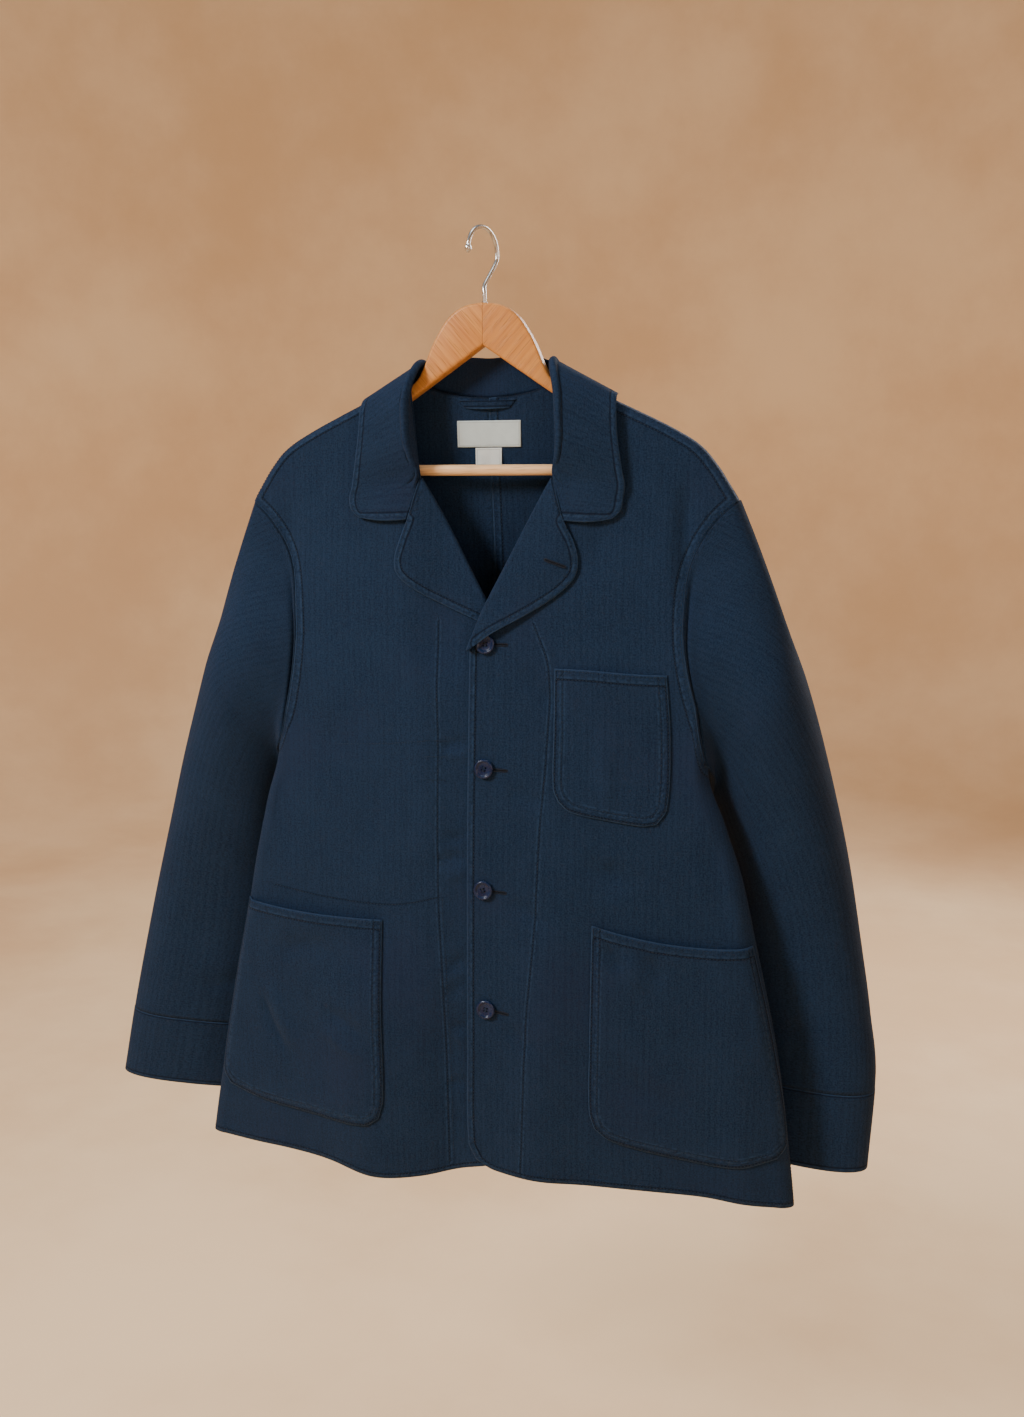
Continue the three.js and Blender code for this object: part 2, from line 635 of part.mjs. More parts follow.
// Collar: from the neck seam up the stand, over the fold, and down the fall to its edge.
const COLLAR = table(
  ["turn", "seamX", "seamY", "seamZ", "foldX", "foldY", "foldZ", "edgeX", "edgeY", "edgeZ", "round"],
  [
    [0, 0, 17.6, -146.6, 0, 16, -113, 0, 34, -166, 3.2],
    [0.18, 30, 16.4, -144, 27, 16, -111.5, 46, 34, -169, 3.2],
    [0.34, 59, 14.8, -137, 45, 14.6, -113.5, 88, 31, -170, 3.2],
    [0.4, 70.5, 12.4, -131, 55, 12, -116, 104, 22, -161, 3],
    [0.43, 75, 8.6, -126.8, 60, 8, -116, 112, 12.5, -152.4, 2.8],
    [0.46, 75.8, 1, -125.4, 60, 0, -115, 118.5, 1.5, -147.4, 2.8],
    [0.485, 76.4, -8.5, -127.8, 61.5, -9, -118, 119.8, -9.5, -150.6, 2.8],
    [0.52, 76, -12.5, -138, 63.5, -15.5, -125, 121, -15, -160, 3],
    [0.6, 72.5, -13.5, -158, 69, -23, -148, 122, -17, -177, 3],
    [0.72, 68.5, -15, -188, 70, -25, -184, 125.5, -17.5, -203, 2.4],
    [0.84, 65, -15.8, -214, 65, -18.8, -216, 130, -16.6, -228, 1.2],
  ],
);
// Past the gorge the collar lies flat; the last columns run from the gorge to its corner.
const COLLAR_END = [
  { seam: [67.8, -232.5], edge: [130.5, -239] },
  { seam: [72.3, -247], edge: [128.5, -249.5] },
  { seam: [76.1, -258.6], edge: [121, -256.5] },
];

// The shares of the collar's width where the stand ends and the fall starts.
const STAND = 0.42;
const FALL = 0.56;
const STAND_LEFT = 0.05;
const COLLAR_LIFT = 2.5;
const FOLD_SHIFT = 2.2;

function collarPoint(side, turn, w) {
  const centreX = mix(BACK_CENTRE_X, NECK_CENTRE_X, rise(0.15, 0.45, turn));
  if (turn > 0.85) {
    const end = COLLAR_END[Math.round((turn - 0.88) / 0.06)];
    const t = w < STAND ? (STAND_LEFT * w) / STAND : mix(STAND_LEFT, 1, (w - STAND) / (1 - STAND));
    const across = mix(end.seam[0], end.edge[0], t);
    const z = mix(end.seam[1], end.edge[1], t) - 2.2 * Math.sin(Math.PI * t) * (turn > 0.99 ? 1 : 0);
    return lifted(frontPoint, side, across, z, COLLAR_LIFT + 1.6 * Math.sin(Math.PI * t));
  }
  const get = (name) => COLLAR(name, turn);
  const at = (name) => vec(centreX + side * get(`${name}X`), get(`${name}Y`), get(`${name}Z`));
  const [seam, fold, edge] = [at("seam"), at("fold"), at("edge")];
  fold.x -= FOLD_SHIFT * rise(0.3, 0.42, turn) * (1 - rise(0.6, 0.8, turn));
  if (w <= STAND) return seam.lerp(fold, w / STAND);
  const out = edge.clone().sub(fold).cross(seam.clone().sub(fold));
  const across = edge.clone().sub(seam).normalize();
  const top = fold.clone().addScaledVector(across, get("round") * 2);
  if (w < FALL) {
    const t = (w - STAND) / (FALL - STAND);
    const crown = out.cross(across).normalize();
    if (crown.z < 0) crown.negate();
    return fold.lerp(top, t).addScaledVector(crown, get("round") * Math.sin(Math.PI * t));
  }
  return top.lerp(edge, (w - FALL) / (1 - FALL));
}

const COLLAR_HALF = [
  0, 0.1, 0.18, 0.26, 0.34, 0.4, 0.43, 0.46, 0.485, 0.52, 0.56, 0.6, 0.66, 0.72, 0.78, 0.84, 0.88, 0.94, 1,
];
const COLLAR_WIDE = [0, 0.21, 0.42, 0.455, 0.49, 0.525, 0.56, 0.67, 0.78, 0.89, 1];

function makeCollar() {
  const turns = [...COLLAR_HALF.slice(1).reverse().map((t) => -t), ...COLLAR_HALF];
  const point = (u, w) => collarPoint(u < 0 ? -1 : 1, Math.abs(u), w);
  return wall(point, [...turns].reverse(), COLLAR_WIDE, { thick: TURNED_CLOTH, bevel: 0.4 });
}

// Boolean work on closed meshes
function solid(geometry) {
  const bare = geometry.clone();
  bare.deleteAttribute("normal");
  bare.deleteAttribute("uv");
  const merged = mergeVertices(bare, 1e-3);
  return new wasm.Manifold(
    new wasm.Mesh({
      numProp: 3,
      vertProperties: merged.attributes.position.array,
      triVerts: new Uint32Array(merged.index.array),
    }),
  );
}

function geometryOf(manifold) {
  const mesh = manifold.getMesh();
  const geometry = new THREE.BufferGeometry();
  geometry.setAttribute("position", new THREE.Float32BufferAttribute(mesh.vertProperties, 3));
  geometry.setIndex(new THREE.BufferAttribute(mesh.triVerts, 1));
  geometry.computeVertexNormals();
  return geometry;
}

const box = (w, d, h, x, y, z) => new THREE.BoxGeometry(w, d, h).translate(x, y, z);

// Hanger: two arms glued at the middle, a round bar between their ends and a wire hook
const HANGER_CENTRE_X = 1.5;
const HANGER_TOP = -64;
const HANGER_VEE = -102;
const ARM_END = 190;
const BAR_Z = -213;
const BAR_RADIUS = 5;
const BAR_HALF = 178;
const BAR_SEAT = 6;
const HALF_BOX = { wide: 420, deep: 60, high: 260, z: -150 };
const UPPER_EDGE = [
  [0, -64], [18, -67], [32, -76], [43, -91], [50.5, -105], [56, -118], [63.5, -131], [78, -142],
  [115, -160], [184, -193], [ARM_END, -200],
];
const LOWER_EDGE = [[ARM_END, -216], [186, -222], [176, -220], [115, -178], [60, -142]];

function makeHanger() {
  const shape = new THREE.Shape();
  shape.moveTo(...UPPER_EDGE[0]);
  shape.splineThru(UPPER_EDGE.slice(1).map(([x, z]) => new THREE.Vector2(x, z)));
  LOWER_EDGE.forEach(([x, z]) => shape.lineTo(x, z));
  shape.lineTo(0, HANGER_VEE);
  [...LOWER_EDGE].reverse().forEach(([x, z]) => shape.lineTo(-x, z));
  shape.splineThru([...UPPER_EDGE].reverse().map(([x, z]) => new THREE.Vector2(-x, z)));
  const body = new THREE.ExtrudeGeometry(shape, {
    depth: HANGER_THICK - 2 * HANGER_EDGE, bevelEnabled: true, bevelThickness: HANGER_EDGE,
    bevelSize: HANGER_EDGE, bevelOffset: -HANGER_EDGE, bevelSegments: 2, curveSegments: 2,
  });
  const barHalf = BAR_HALF + BAR_SEAT;
  body.rotateX(Math.PI / 2).translate(HANGER_CENTRE_X, HANGER_THICK / 2 - HANGER_EDGE, 0);
  const stem = new THREE.CylinderGeometry(WIRE_RADIUS + 0.3, WIRE_RADIUS + 0.3, 50, 12)
    .rotateX(Math.PI / 2).translate(HANGER_CENTRE_X, 0, HANGER_TOP);
  const seat = new THREE.CylinderGeometry(BAR_RADIUS + 0.3, BAR_RADIUS + 0.3, 2 * barHalf, 16)
    .rotateZ(Math.PI / 2).translate(HANGER_CENTRE_X, 0, BAR_Z);
  const whole = solid(body).subtract(solid(stem)).subtract(solid(seat));
  const side = (s) => {
    const middle = HANGER_CENTRE_X + s * (SEAM_GAP / 2 - HALF_BOX.wide / 2);
    const other = box(HALF_BOX.wide, HALF_BOX.deep, HALF_BOX.high, middle, 0, HALF_BOX.z);
    return geometryOf(whole.subtract(solid(other)));
  };
  return { left: side(1), right: side(-1) };
}

function makeBar() {
  return new THREE.CylinderGeometry(BAR_RADIUS, BAR_RADIUS, 2 * (BAR_HALF + BAR_SEAT - SEAM_GAP), 16)
    .rotateZ(Math.PI / 2).translate(HANGER_CENTRE_X, 0, BAR_Z);
}

// The hook turns on its stem; here its open side faces the front, a little to the right arm.
const HOOK_HEADING = THREE.MathUtils.degToRad(-111);
const HOOK_CROWN_Z = WIRE_RADIUS;

function makeHook() {
  const way = vec(Math.cos(HOOK_HEADING), Math.sin(HOOK_HEADING), 0);
  const place = (w, z) => way.clone().multiplyScalar(w).setZ(z);
  const middle = HOOK_CROWN_Z - HOOK_RADIUS;
  const bow = range(13).map((i) => {
    const angle = mix(-18, 180, i / 12) * (Math.PI / 180);
    return place(-HOOK_RADIUS * Math.cos(angle), middle + HOOK_RADIUS * Math.sin(angle));
  });
  const stem = [HANGER_TOP - 22, HANGER_TOP, -55].map((z) => vec(HANGER_CENTRE_X, 0, z));
  const bend = [place(-2, -49), place(-9, -40)];
  const path = new THREE.CatmullRomCurve3([...stem, ...bend, ...bow], false, "centripetal");
  const section = new THREE.Shape(
    range(WIRE_SIDES).map((i) => {
      const angle = (i * 2 * Math.PI) / WIRE_SIDES;
      return new THREE.Vector2(WIRE_RADIUS * Math.cos(angle), WIRE_RADIUS * Math.sin(angle));
    }),
  );
  const wire = new THREE.ExtrudeGeometry(section, { steps: 44, extrudePath: path, bevelEnabled: false });
  const tip = bow.at(-1);
  const bulb = new THREE.SphereGeometry(3, 10, 8).scale(1, 1, 1.35).translate(tip.x, tip.y, tip.z);
  return geometryOf(solid(wire).add(solid(bulb)));
}

// Buttons with four holes, and what is sewn inside the neck
const BUTTON_RADIUS = 9.2;
const BUTTON_THICK = 3.4;
const BUTTON_DISH = 2.1;
const BUTTON_HOLE = { radius: 0.95, out: 1.9, sides: 6 };
// Where each button sits, as (across, z)
const BUTTONS = [[0.5, -371], [1.3, -486.2], [1.7, -601], [4.4, -717.3]];

function makeButton([across, z]) {
  const profile = [
    [0, 0], [BUTTON_RADIUS * 0.72, 0], [BUTTON_RADIUS, 1.3], [BUTTON_RADIUS, 2.2],
    [BUTTON_RADIUS - 1, BUTTON_THICK], [BUTTON_RADIUS - 2.2, 3], [BUTTON_RADIUS - 3.2, BUTTON_DISH],
    [0, BUTTON_DISH],
  ].map(([x, y]) => new THREE.Vector2(x, y));
  let body = solid(new THREE.LatheGeometry(profile, 20));
  for (const i of range(4)) {
    const angle = Math.PI / 4 + (i * Math.PI) / 2;
    const { radius, out, sides } = BUTTON_HOLE;
    const hole = new THREE.CylinderGeometry(radius, radius, 12, sides)
      .translate(out * Math.cos(angle), 0, out * Math.sin(angle));
    body = body.subtract(solid(hole));
  }
  const foot = lifted(frontPoint, 1, across, z, LIE_GAP + 0.1);
  const out = foot.clone().sub(frontPoint(1, across, z)).normalize();
  const turnTo = new THREE.Quaternion().setFromUnitVectors(vec(0, 1, 0), out);
  return geometryOf(body).applyQuaternion(turnTo).translate(foot.x, foot.y, foot.z);
}

// A strip or label on the back's inside: (x, z) corners, and how far it stands off.
function makeInside(place, { thick, off, columns = 6, rows = 2 }) {
  const point = (u, v) => {
    const [x, z] = place(u, v);
    const side = x < BACK_CENTRE_X ? -1 : 1;
    const p = lifted(backPoint, side, Math.abs(x - BACK_CENTRE_X), z, -(CLOTH + LIE_GAP) - off(u, v));
    return p;
  };
  return wall(point, even(columns), even(rows), { thick: -thick, bevel: 0 });
}

const LOOP = { x0: -27, x1: 29, z: -148.4, high: 8, slant: 6 };
const LABEL = { x0: -29, x1: 32.5, z0: -191.5, z1: -167.5 };
const CARE_LABEL = { x0: -12, x1: 13.5, z0: -209, z1: -192.1 };

const flip = (geometry) => {
  const index = geometry.index.array;
  for (let i = 0; i < index.length; i += 3) [index[i + 1], index[i + 2]] = [index[i + 2], index[i + 1]];
  geometry.computeVertexNormals();
  return geometry;
};

function makeLoop() {
  const place = (u, v) => [
    mix(LOOP.x0 + LOOP.slant * (1 - v), LOOP.x1 - LOOP.slant * (1 - v), u),
    LOOP.z - LOOP.high * (1 - v) - 1.2 * Math.sin(Math.PI * u),
  ];
  return flip(makeInside(place, { thick: 1.2, off: (u) => 2.6 * Math.sin(Math.PI * u), columns: 8 }));
}

function makeLabel({ x0, x1, z0, z1 }, hang) {
  const place = (u, v) => [mix(x0, x1, u), mix(z0, z1, v)];
  return flip(makeInside(place, { thick: 0.7, off: (_, v) => hang * (1 - v) }));
}

// Assembly
const jacket = new THREE.Group();

function add(name, geometry, colour, roughness = 0.9, metalness = 0) {
  const material = new THREE.MeshStandardMaterial({ color: colour, roughness, metalness });
  const mesh = new THREE.Mesh(geometry, material);
  mesh.name = name;
  jacket.add(mesh);
}

for (const [side, word] of [[1, "left"], [-1, "right"]]) {
  add(`front_${word}`, makeFront(side), COLOURS.cloth);
  add(`back_${word}`, makeBack(side), COLOURS.cloth);
  add(`sleeve_${word}`, makeSleeve(side), COLOURS.cloth);
  add(`cuff_${word}`, makeCuff(side), COLOURS.cloth);
  add(`lapel_${word}`, makeLapel(side), COLOURS.cloth);
}
add("collar", makeCollar(), COLOURS.cloth);
for (const [name, pocket] of Object.entries(POCKETS)) add(name, makePocket(pocket), COLOURS.cloth);
BUTTONS.forEach((place, i) => add(`button_${i + 1}`, makeButton(place), COLOURS.button, 0.3));
add("hanging_loop", makeLoop(), COLOURS.cloth);
add("neck_label", makeLabel(LABEL, 0.6), COLOURS.label);
add("size_label", makeLabel(CARE_LABEL, 1.6), COLOURS.label);
const hanger = makeHanger();
add("hanger_arm_left", hanger.left, COLOURS.wood, 0.5);
add("hanger_arm_right", hanger.right, COLOURS.wood, 0.5);
add("hanger_bar", makeBar(), COLOURS.bar, 0.5);
add("hanger_hook", makeHook(), COLOURS.steel, 0.25, 1);

export default jacket;
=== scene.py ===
"""The looks of a buttoned cotton work jacket on its wooden hanger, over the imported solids.

Sizes are in millimetres until a mesh is filled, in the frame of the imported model: +Z up, the
jacket's front towards -Y, +X the wearer's left, and the origin inside the hook's crown. A place
on the cloth is (across, z): the distance from the centre line along the cloth, and the height.
"""

import json
import math

import bmesh
import bpy
import numpy as np
from mathutils import Matrix, Vector

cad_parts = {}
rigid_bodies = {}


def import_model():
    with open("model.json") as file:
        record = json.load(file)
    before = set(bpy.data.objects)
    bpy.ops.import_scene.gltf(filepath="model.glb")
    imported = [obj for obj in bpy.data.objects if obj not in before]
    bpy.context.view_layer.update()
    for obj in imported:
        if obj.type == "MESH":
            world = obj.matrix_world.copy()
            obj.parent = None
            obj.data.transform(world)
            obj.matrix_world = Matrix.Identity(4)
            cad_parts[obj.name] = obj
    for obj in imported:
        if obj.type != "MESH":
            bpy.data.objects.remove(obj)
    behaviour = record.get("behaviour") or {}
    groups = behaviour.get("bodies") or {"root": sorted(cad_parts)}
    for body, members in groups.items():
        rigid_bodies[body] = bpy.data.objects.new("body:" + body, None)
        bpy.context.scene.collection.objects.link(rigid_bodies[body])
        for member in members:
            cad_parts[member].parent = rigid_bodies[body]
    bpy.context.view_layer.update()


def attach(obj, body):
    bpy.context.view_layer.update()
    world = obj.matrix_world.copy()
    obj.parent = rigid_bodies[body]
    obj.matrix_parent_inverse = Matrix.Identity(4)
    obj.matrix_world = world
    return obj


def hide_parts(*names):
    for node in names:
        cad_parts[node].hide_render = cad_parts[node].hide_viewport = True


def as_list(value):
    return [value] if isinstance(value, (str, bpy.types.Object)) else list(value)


MM = 0.001

# Camera
for old in list(bpy.data.objects):
    bpy.data.objects.remove(old)
camera = bpy.data.objects.new("camera", bpy.data.cameras.new("camera"))
bpy.context.scene.collection.objects.link(camera)
camera.data.lens = 34.17
camera.location = (0.372636, -1.203926, -0.231120)
camera.rotation_euler = (math.radians(80.7727), 0, math.radians(16))
bpy.context.scene.camera = camera

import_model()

# Driving sizes
CLOTH = 1.3
TURNED_CLOTH = 1.6
LIE_GAP = 0.5
FRONT_CENTRE_X = 10
BACK_CENTRE_X = 2
SHOULDER_CENTRE_X = 2.5
NECK_CENTRE_X = 6.3
HEM_Z = -886
ARMPIT_Z = -480
SHOULDER_HALF = 233
SHOULDER_ROUND = 10
SHOULDER_BLEND = 170
RIDGE_LEVEL = -235
ROW_ROOM = 450
CORNER_REACH = 20
FRONT_EDGE = {1: -15, -1: -24}
BREAK_Z = {1: -378, -1: -366}
UNDERLAP_DROP = 3.4
LAPEL_DROP = 7.4
SIDES = ((1, "left"), (-1, "right"))


# Small maths, on numbers and on arrays
def mix(a, b, t):
    return a + (b - a) * t


def rise(start, end, x):
    t = np.clip((np.asarray(x, float) - start) / (end - start), 0, 1)
    return t * t * (3 - 2 * t)


def unit(v):
    return v / np.maximum(np.linalg.norm(v, axis=-1, keepdims=True), 1e-9)


def hermite(xs, ys, ms, x):
    """A smooth curve through (xs, ys) with slopes ms, read at x."""
    at = np.clip(x, xs[0], xs[-1])
    i = np.clip(np.searchsorted(xs, at, side="right") - 1, 0, len(xs) - 2)
    h = xs[i + 1] - xs[i]
    t = (at - xs[i]) / h
    u = 1 - t
    return (
        ys[i] * u * u * (1 + 2 * t) + ms[i] * h * t * u * u
        + ys[i + 1] * t * t * (3 - 2 * t) - ms[i + 1] * h * t * t * u
    )


def table(names, rows):
    """A table with named columns, read smoothly at any value of its first column."""
    rows = np.array(rows, float)
    keys = rows[:, 0]
    columns = {}
    for name, values in zip(names, rows.T):
        step = np.diff(values) / np.diff(keys)
        a, b = step[:-1], step[1:]
        middle = np.where(a * b <= 0, 0, 2 * a * b / np.where(a + b == 0, 1, a + b))
        columns[name] = (values, np.concatenate([step[:1], middle, step[-1:]]))
    return lambda name, at: hermite(keys, *columns[name], at)


def run_of(points):
    """How far along a path each of its points is."""
    steps = np.linalg.norm(np.diff(points, axis=0), axis=1)
    return np.concatenate([[0], np.cumsum(steps)])


def line(points):
    """A smooth line through a few points, read from 0 to 1 along its length."""
    points = np.array(points, float)
    run = run_of(points)
    index = np.arange(len(points))
    a, b = np.maximum(0, index - 1), np.minimum(len(points) - 1, index + 1)
    slopes = (points[b] - points[a]) / (run[b] - run[a])[:, None]

    def read(t):
        at = np.asarray(t, float) * run[-1]
        return np.stack([hermite(run, ys, ms, at) for ys, ms in zip(points.T, slopes.T)], -1)

    return read


def joined(first, second, share):
    """Two lines end to end: the first up to the share, then the second."""

    def read(t):
        t = np.asarray(t, float)
        low, high = np.clip(t / share, 0, 1), np.clip((t - share) / (1 - share), 0, 1)
        return np.where((t < share)[..., None], first(low), second(high))

    return read


def patch(bottom, top, inner, outer):
    """The flat patch inside four edges: bottom and top run with u, inner and outer with v."""
    c00, c10, c01, c11 = bottom(0.0), bottom(1.0), top(0.0), top(1.0)

    def read(u, v):
        uu, vv = np.asarray(u, float)[..., None], np.asarray(v, float)[..., None]
        corners = mix(mix(c00, c10, uu), mix(c01, c11, uu), vv)
        return mix(bottom(u), top(u), vv) + mix(inner(v), outer(v), uu) - corners

    return read


def pinned(curve, end):
    """A line whose last point is moved to meet a corner exactly."""
    gap = end - curve(1.0)
    return lambda t: curve(t) + gap * np.asarray(t, float)[..., None] ** 8


def spans(*parts):
    """Shares from 0 to 1. Each part says where it ends and in how many steps."""
    shares, start = [0.0], 0.0
    for end, steps in parts:
        shares += list(np.linspace(start, end, steps + 1)[1:])
        start = end
    return np.array(shares)


# The jacket's surface
SECTIONS = table(
    ["z", "half", "lean", "front", "edge", "back", "tuck"],
    [
        [-910, 306, -7, 39, 15, 39, 4],
        [-860, 299, -5, 41, 18, 41, 5],
        [-740, 279, -1, 43, 23, 45, 7],
        [-640, 258, 0, 42, 27, 47, 11],
        [-583, 246, 0, 41, 30, 47, 15],
        [-530, 231, -2, 39, 31, 46, 21],
        [-478, 216, -4, 36, 30, 44, 26],
        [-400, 220, -2, 31, 27, 40, 26],
        [-330, 232, 0, 25, 20, 34, 26],
        [-237, 258, 0, 18, 13, 24, 26],
        [-110, 258, 0, 15, 11, 17, 26],
    ],
)
SHOULDER = table(
    ["across", "z"],
    [[0, -98], [60, -122], [115, -149], [186, -184], [200, -194], [213, -209], [225, -227],
     [233, -240], [246, -264]],
)
BACK_HALF = table(
    ["z", "extra"], [[-480, 0], [-440, 24], [-400, 42], [-300, 58], [-237, 66], [-110, 66]]
)
# Soft troughs (minus) and ridges (plus) on the fronts (face -1) and the backs (face 1): where
# each starts and ends, its width and height, and how far it bows to one side on its way.
FOLDS = [
    # side, face, across0, z0, across1, z1, width, height, bow
    (1, -1, 187, -212, 188, -350, 9, -5, 0),
    (-1, -1, 196, -230, 190, -350, 12, -3, 0),
    (-1, -1, 120, -640, 124, -905, 46, 8, 0),
    (-1, -1, 36, -700, 30, -905, 26, -6, 0),
    (1, -1, 70, -560, 52, -905, 30, 5, 0),
    (1, -1, 225, -560, 252, -905, 26, 4, 0),
    (1, 1, 120, -330, 150, -905, 34, 9, 0),
    (-1, 1, 105, -330, 140, -905, 36, 10, 0),
    (1, 1, 40, -420, 62, -905, 28, -7, 0),
    (-1, 1, 48, -400, 70, -905, 28, -6, 0),
    # beside the buttoned edge
    (-1, -1, 12, -462, 46, -470, 5, -1.7, 1),
    (-1, -1, 10, -478, 40, -474, 4, 1.4, 0),
    (-1, -1, 13, -550, 44, -556, 6, -2.0, -2),
    (-1, -1, 12, -569, 52, -584, 6, -2.1, 2),
    (-1, -1, 12, -582, 40, -596, 5, 1.5, 0),
    (-1, -1, 12, -668, 38, -690, 6, -2.2, 2),
    (-1, -1, 12, -690, 44, -716, 6, -1.8, 0),
    (-1, -1, 14, -738, 36, -744, 4, -1.7, 0),
    (-1, -1, 14, -752, 34, -756, 4, 1.2, 0),
    (-1, -1, 13, -794, 40, -806, 5, -1.8, 1),
    (1, -1, 30, -392, 74, -440, 9, -1.8, 4),
    (1, -1, 26, -500, 62, -520, 8, -1.5, -3),
    (1, -1, 24, -610, 70, -640, 9, -2.0, 4),
    (1, -1, 22, -730, 60, -760, 8, -1.7, 0),
    # chest and waist
    (1, -1, 96, -560, 150, -590, 12, -2.0, -8),
    (1, -1, 118, -566, 132, -588, 9, -2.1, 0),
    (1, -1, 112, -445, 116, -528, 8, 2.1, 3),
    (1, -1, 176, -360, 205, -520, 12, 2.0, 10),
    (1, -1, 120, -250, 60, -330, 16, -1.8, 8),
    (1, -1, 214, -520, 236, -640, 12, -2.2, -6),
    (-1, -1, 182, -370, 150, -470, 14, 1.8, -8),
    (-1, -1, 206, -470, 196, -600, 12, -1.6, 5),
    (-1, -1, 130, -250, 70, -330, 16, -1.6, 6),
    (-1, -1, 104, -480, 110, -610, 18, -1.3, 6),
    (-1, -1, 70, -400, 58, -600, 14, 1.0, -5),
    # on and below the hip pockets
    (-1, -1, 237, -726, 204, -796, 7, -3.3, 4),
    (-1, -1, 228, -716, 192, -790, 9, 2.7, 5),
    (-1, -1, 166, -735, 112, -764, 7, -2.0, -4),
    (-1, -1, 170, -752, 120, -782, 6, 1.5, 3),
    (-1, -1, 150, -668, 220, -690, 10, -1.2, 5),
    (1, -1, 118, -642, 134, -672, 6, -2.4, 0),
    (1, -1, 156, -648, 170, -682, 7, -2.2, 2),
    (1, -1, 138, -650, 152, -690, 7, 1.8, 0),
    (1, -1, 120, -760, 210, -800, 14, -1.5, -8),
    (1, -1, 246, -660, 262, -760, 10, 1.4, 4),
    # across the back, between the shoulders and above the hem
    (1, 1, 176, -300, 120, -420, 14, -2.2, 8),
    (-1, 1, 176, -310, 130, -430, 14, -2.0, -6),
    (1, 1, 60, -210, 130, -236, 12, -1.4, -6),
    (-1, 1, 50, -206, 122, -238, 12, -1.6, 5),
    (1, 1, 200, -520, 226, -700, 16, 2.4, 6),
    (-1, 1, 206, -540, 230, -730, 15, 2.2, -6),
    (1, 1, 90, -600, 96, -860, 16, 2.0, 8),
    (-1, 1, 14, -560, 22, -820, 14, -1.8, 4),
    (1, 1, 150, -700, 220, -760, 12, -1.4, 5),
    (-1, 1, 140, -660, 214, -706, 12, -1.2, -5),
]


def fold_height(side, face, across, z):
    height = 0.0
    for row_side, row_face, across0, z0, across1, z1, width, high, bow in FOLDS:
        if (row_side, row_face) != (side, face):
            continue
        dx, dz = across1 - across0, z1 - z0
        length = math.hypot(dx, dz)
        t = ((across - across0) * dx + (z - z0) * dz) / length**2
        away = ((across - across0) * dz - (z - z0) * dx) / length + bow * 4 * t * (1 - t)
        ends = rise(-0.05, 0.35, t) * (1 if z1 < HEM_Z else 1 - rise(0.6, 1.05, t))
        height = height + high * ends * np.exp(-((away / width) ** 2))
    return height


def shoulder_z(x):
    return SHOULDER("z", np.abs(x - SHOULDER_CENTRE_X))


def stand_out(full, below):
    """How far the cloth stands out at a place: it rounds over the hanger's arm at the top."""
    d = np.clip(below, 0, SHOULDER_ROUND)
    round_ = np.sqrt(SHOULDER_ROUND**2 - (SHOULDER_ROUND - d) ** 2)
    spread = rise(-20, SHOULDER_BLEND, below - SHOULDER_ROUND) * rise(0, SHOULDER_ROUND, below)
    return round_ + (full - SHOULDER_ROUND) * spread


def corner_length(z):
    """How long the cloth is from the start of the turn at a front's side to the seam."""
    deep = SECTIONS("edge", z)
    return math.pi / 2 * np.sqrt((CORNER_REACH**2 + deep**2) / 2) + SECTIONS("tuck", z)


def turn_across(side, z):
    return SECTIONS("half", z) + side * SECTIONS("lean", z) - CORNER_REACH


def seam_across(side, z):
    return turn_across(side, z) + corner_length(z)


def front_place(side, across, z):
    turn = turn_across(side, z)
    flat = np.minimum(across, turn)
    c = np.clip((across - turn) / corner_length(z), 0, 1)
    angle = c * math.pi / 2
    tuck = SECTIONS("tuck", z) * np.clip(c * 2 - 1, 0, 1) ** 1.4
    reach = flat + CORNER_REACH * np.sin(angle) - tuck
    outwards = 1 - (1 - np.clip(across / SHOULDER_HALF, 0, 1)) ** 2
    x = mix(FRONT_CENTRE_X, SHOULDER_CENTRE_X, rise(-480, -300, z) * outwards) + side * reach
    full, edge = SECTIONS("front", z), SECTIONS("edge", z)
    bow = full - (full - edge) * (flat / turn) ** 2
    deep = stand_out(bow, shoulder_z(x) - z) + fold_height(side, -1, across, z)
    return x, -deep * np.cos(angle)


def back_half(side, z):
    low = np.minimum(z, ARMPIT_Z)
    seam_x = front_place(side, seam_across(side, low), low)[0]
    return np.abs(seam_x - BACK_CENTRE_X) + BACK_HALF("extra", z)


def under_lap(across, z):
    """The right front dips behind the left one, and more under the lapels."""
    high = rise(-420, -370, z)
    drop, reach = mix(UNDERLAP_DROP, LAPEL_DROP, high), mix(16, 34, high)
    return drop * (1 - rise(0, 1, (across - reach) / 50)) * (1 - rise(-260, -205, z))


def front_point(side, across, z):
    across, z = np.broadcast_arrays(np.asarray(across, float), np.asarray(z, float))
    x, y = front_place(side, across, z)
    if side < 0:
        y = y + under_lap(across, z)
    return np.stack([x, y, z], -1)


def back_point(side, across, z):
    across, z = np.broadcast_arrays(np.asarray(across, float), np.asarray(z, float))
    share = np.clip(across / back_half(side, z), 0, 1)
    x = BACK_CENTRE_X + side * across
    lens = SECTIONS("back", z) * (1 - share**2) ** 0.75
    shape = stand_out(lens, shoulder_z(x) - z)
    return np.stack([x, shape + fold_height(side, 1, across, z) * (1 - share**4), z], -1)


def lifted(surface, side, across, z, lift):
    """A point moved out from a surface by a lift, along the surface's own normal."""
    step = 1.5
    out = side if surface is front_point else -side
    along = surface(side, across + step, z) - surface(side, across - step, z)
    up = surface(side, across, z + step) - surface(side, across, z - step)
    normal = unit(np.cross(along, up)) * out
    return surface(side, across, z) + normal * np.asarray(lift, float)[..., None]


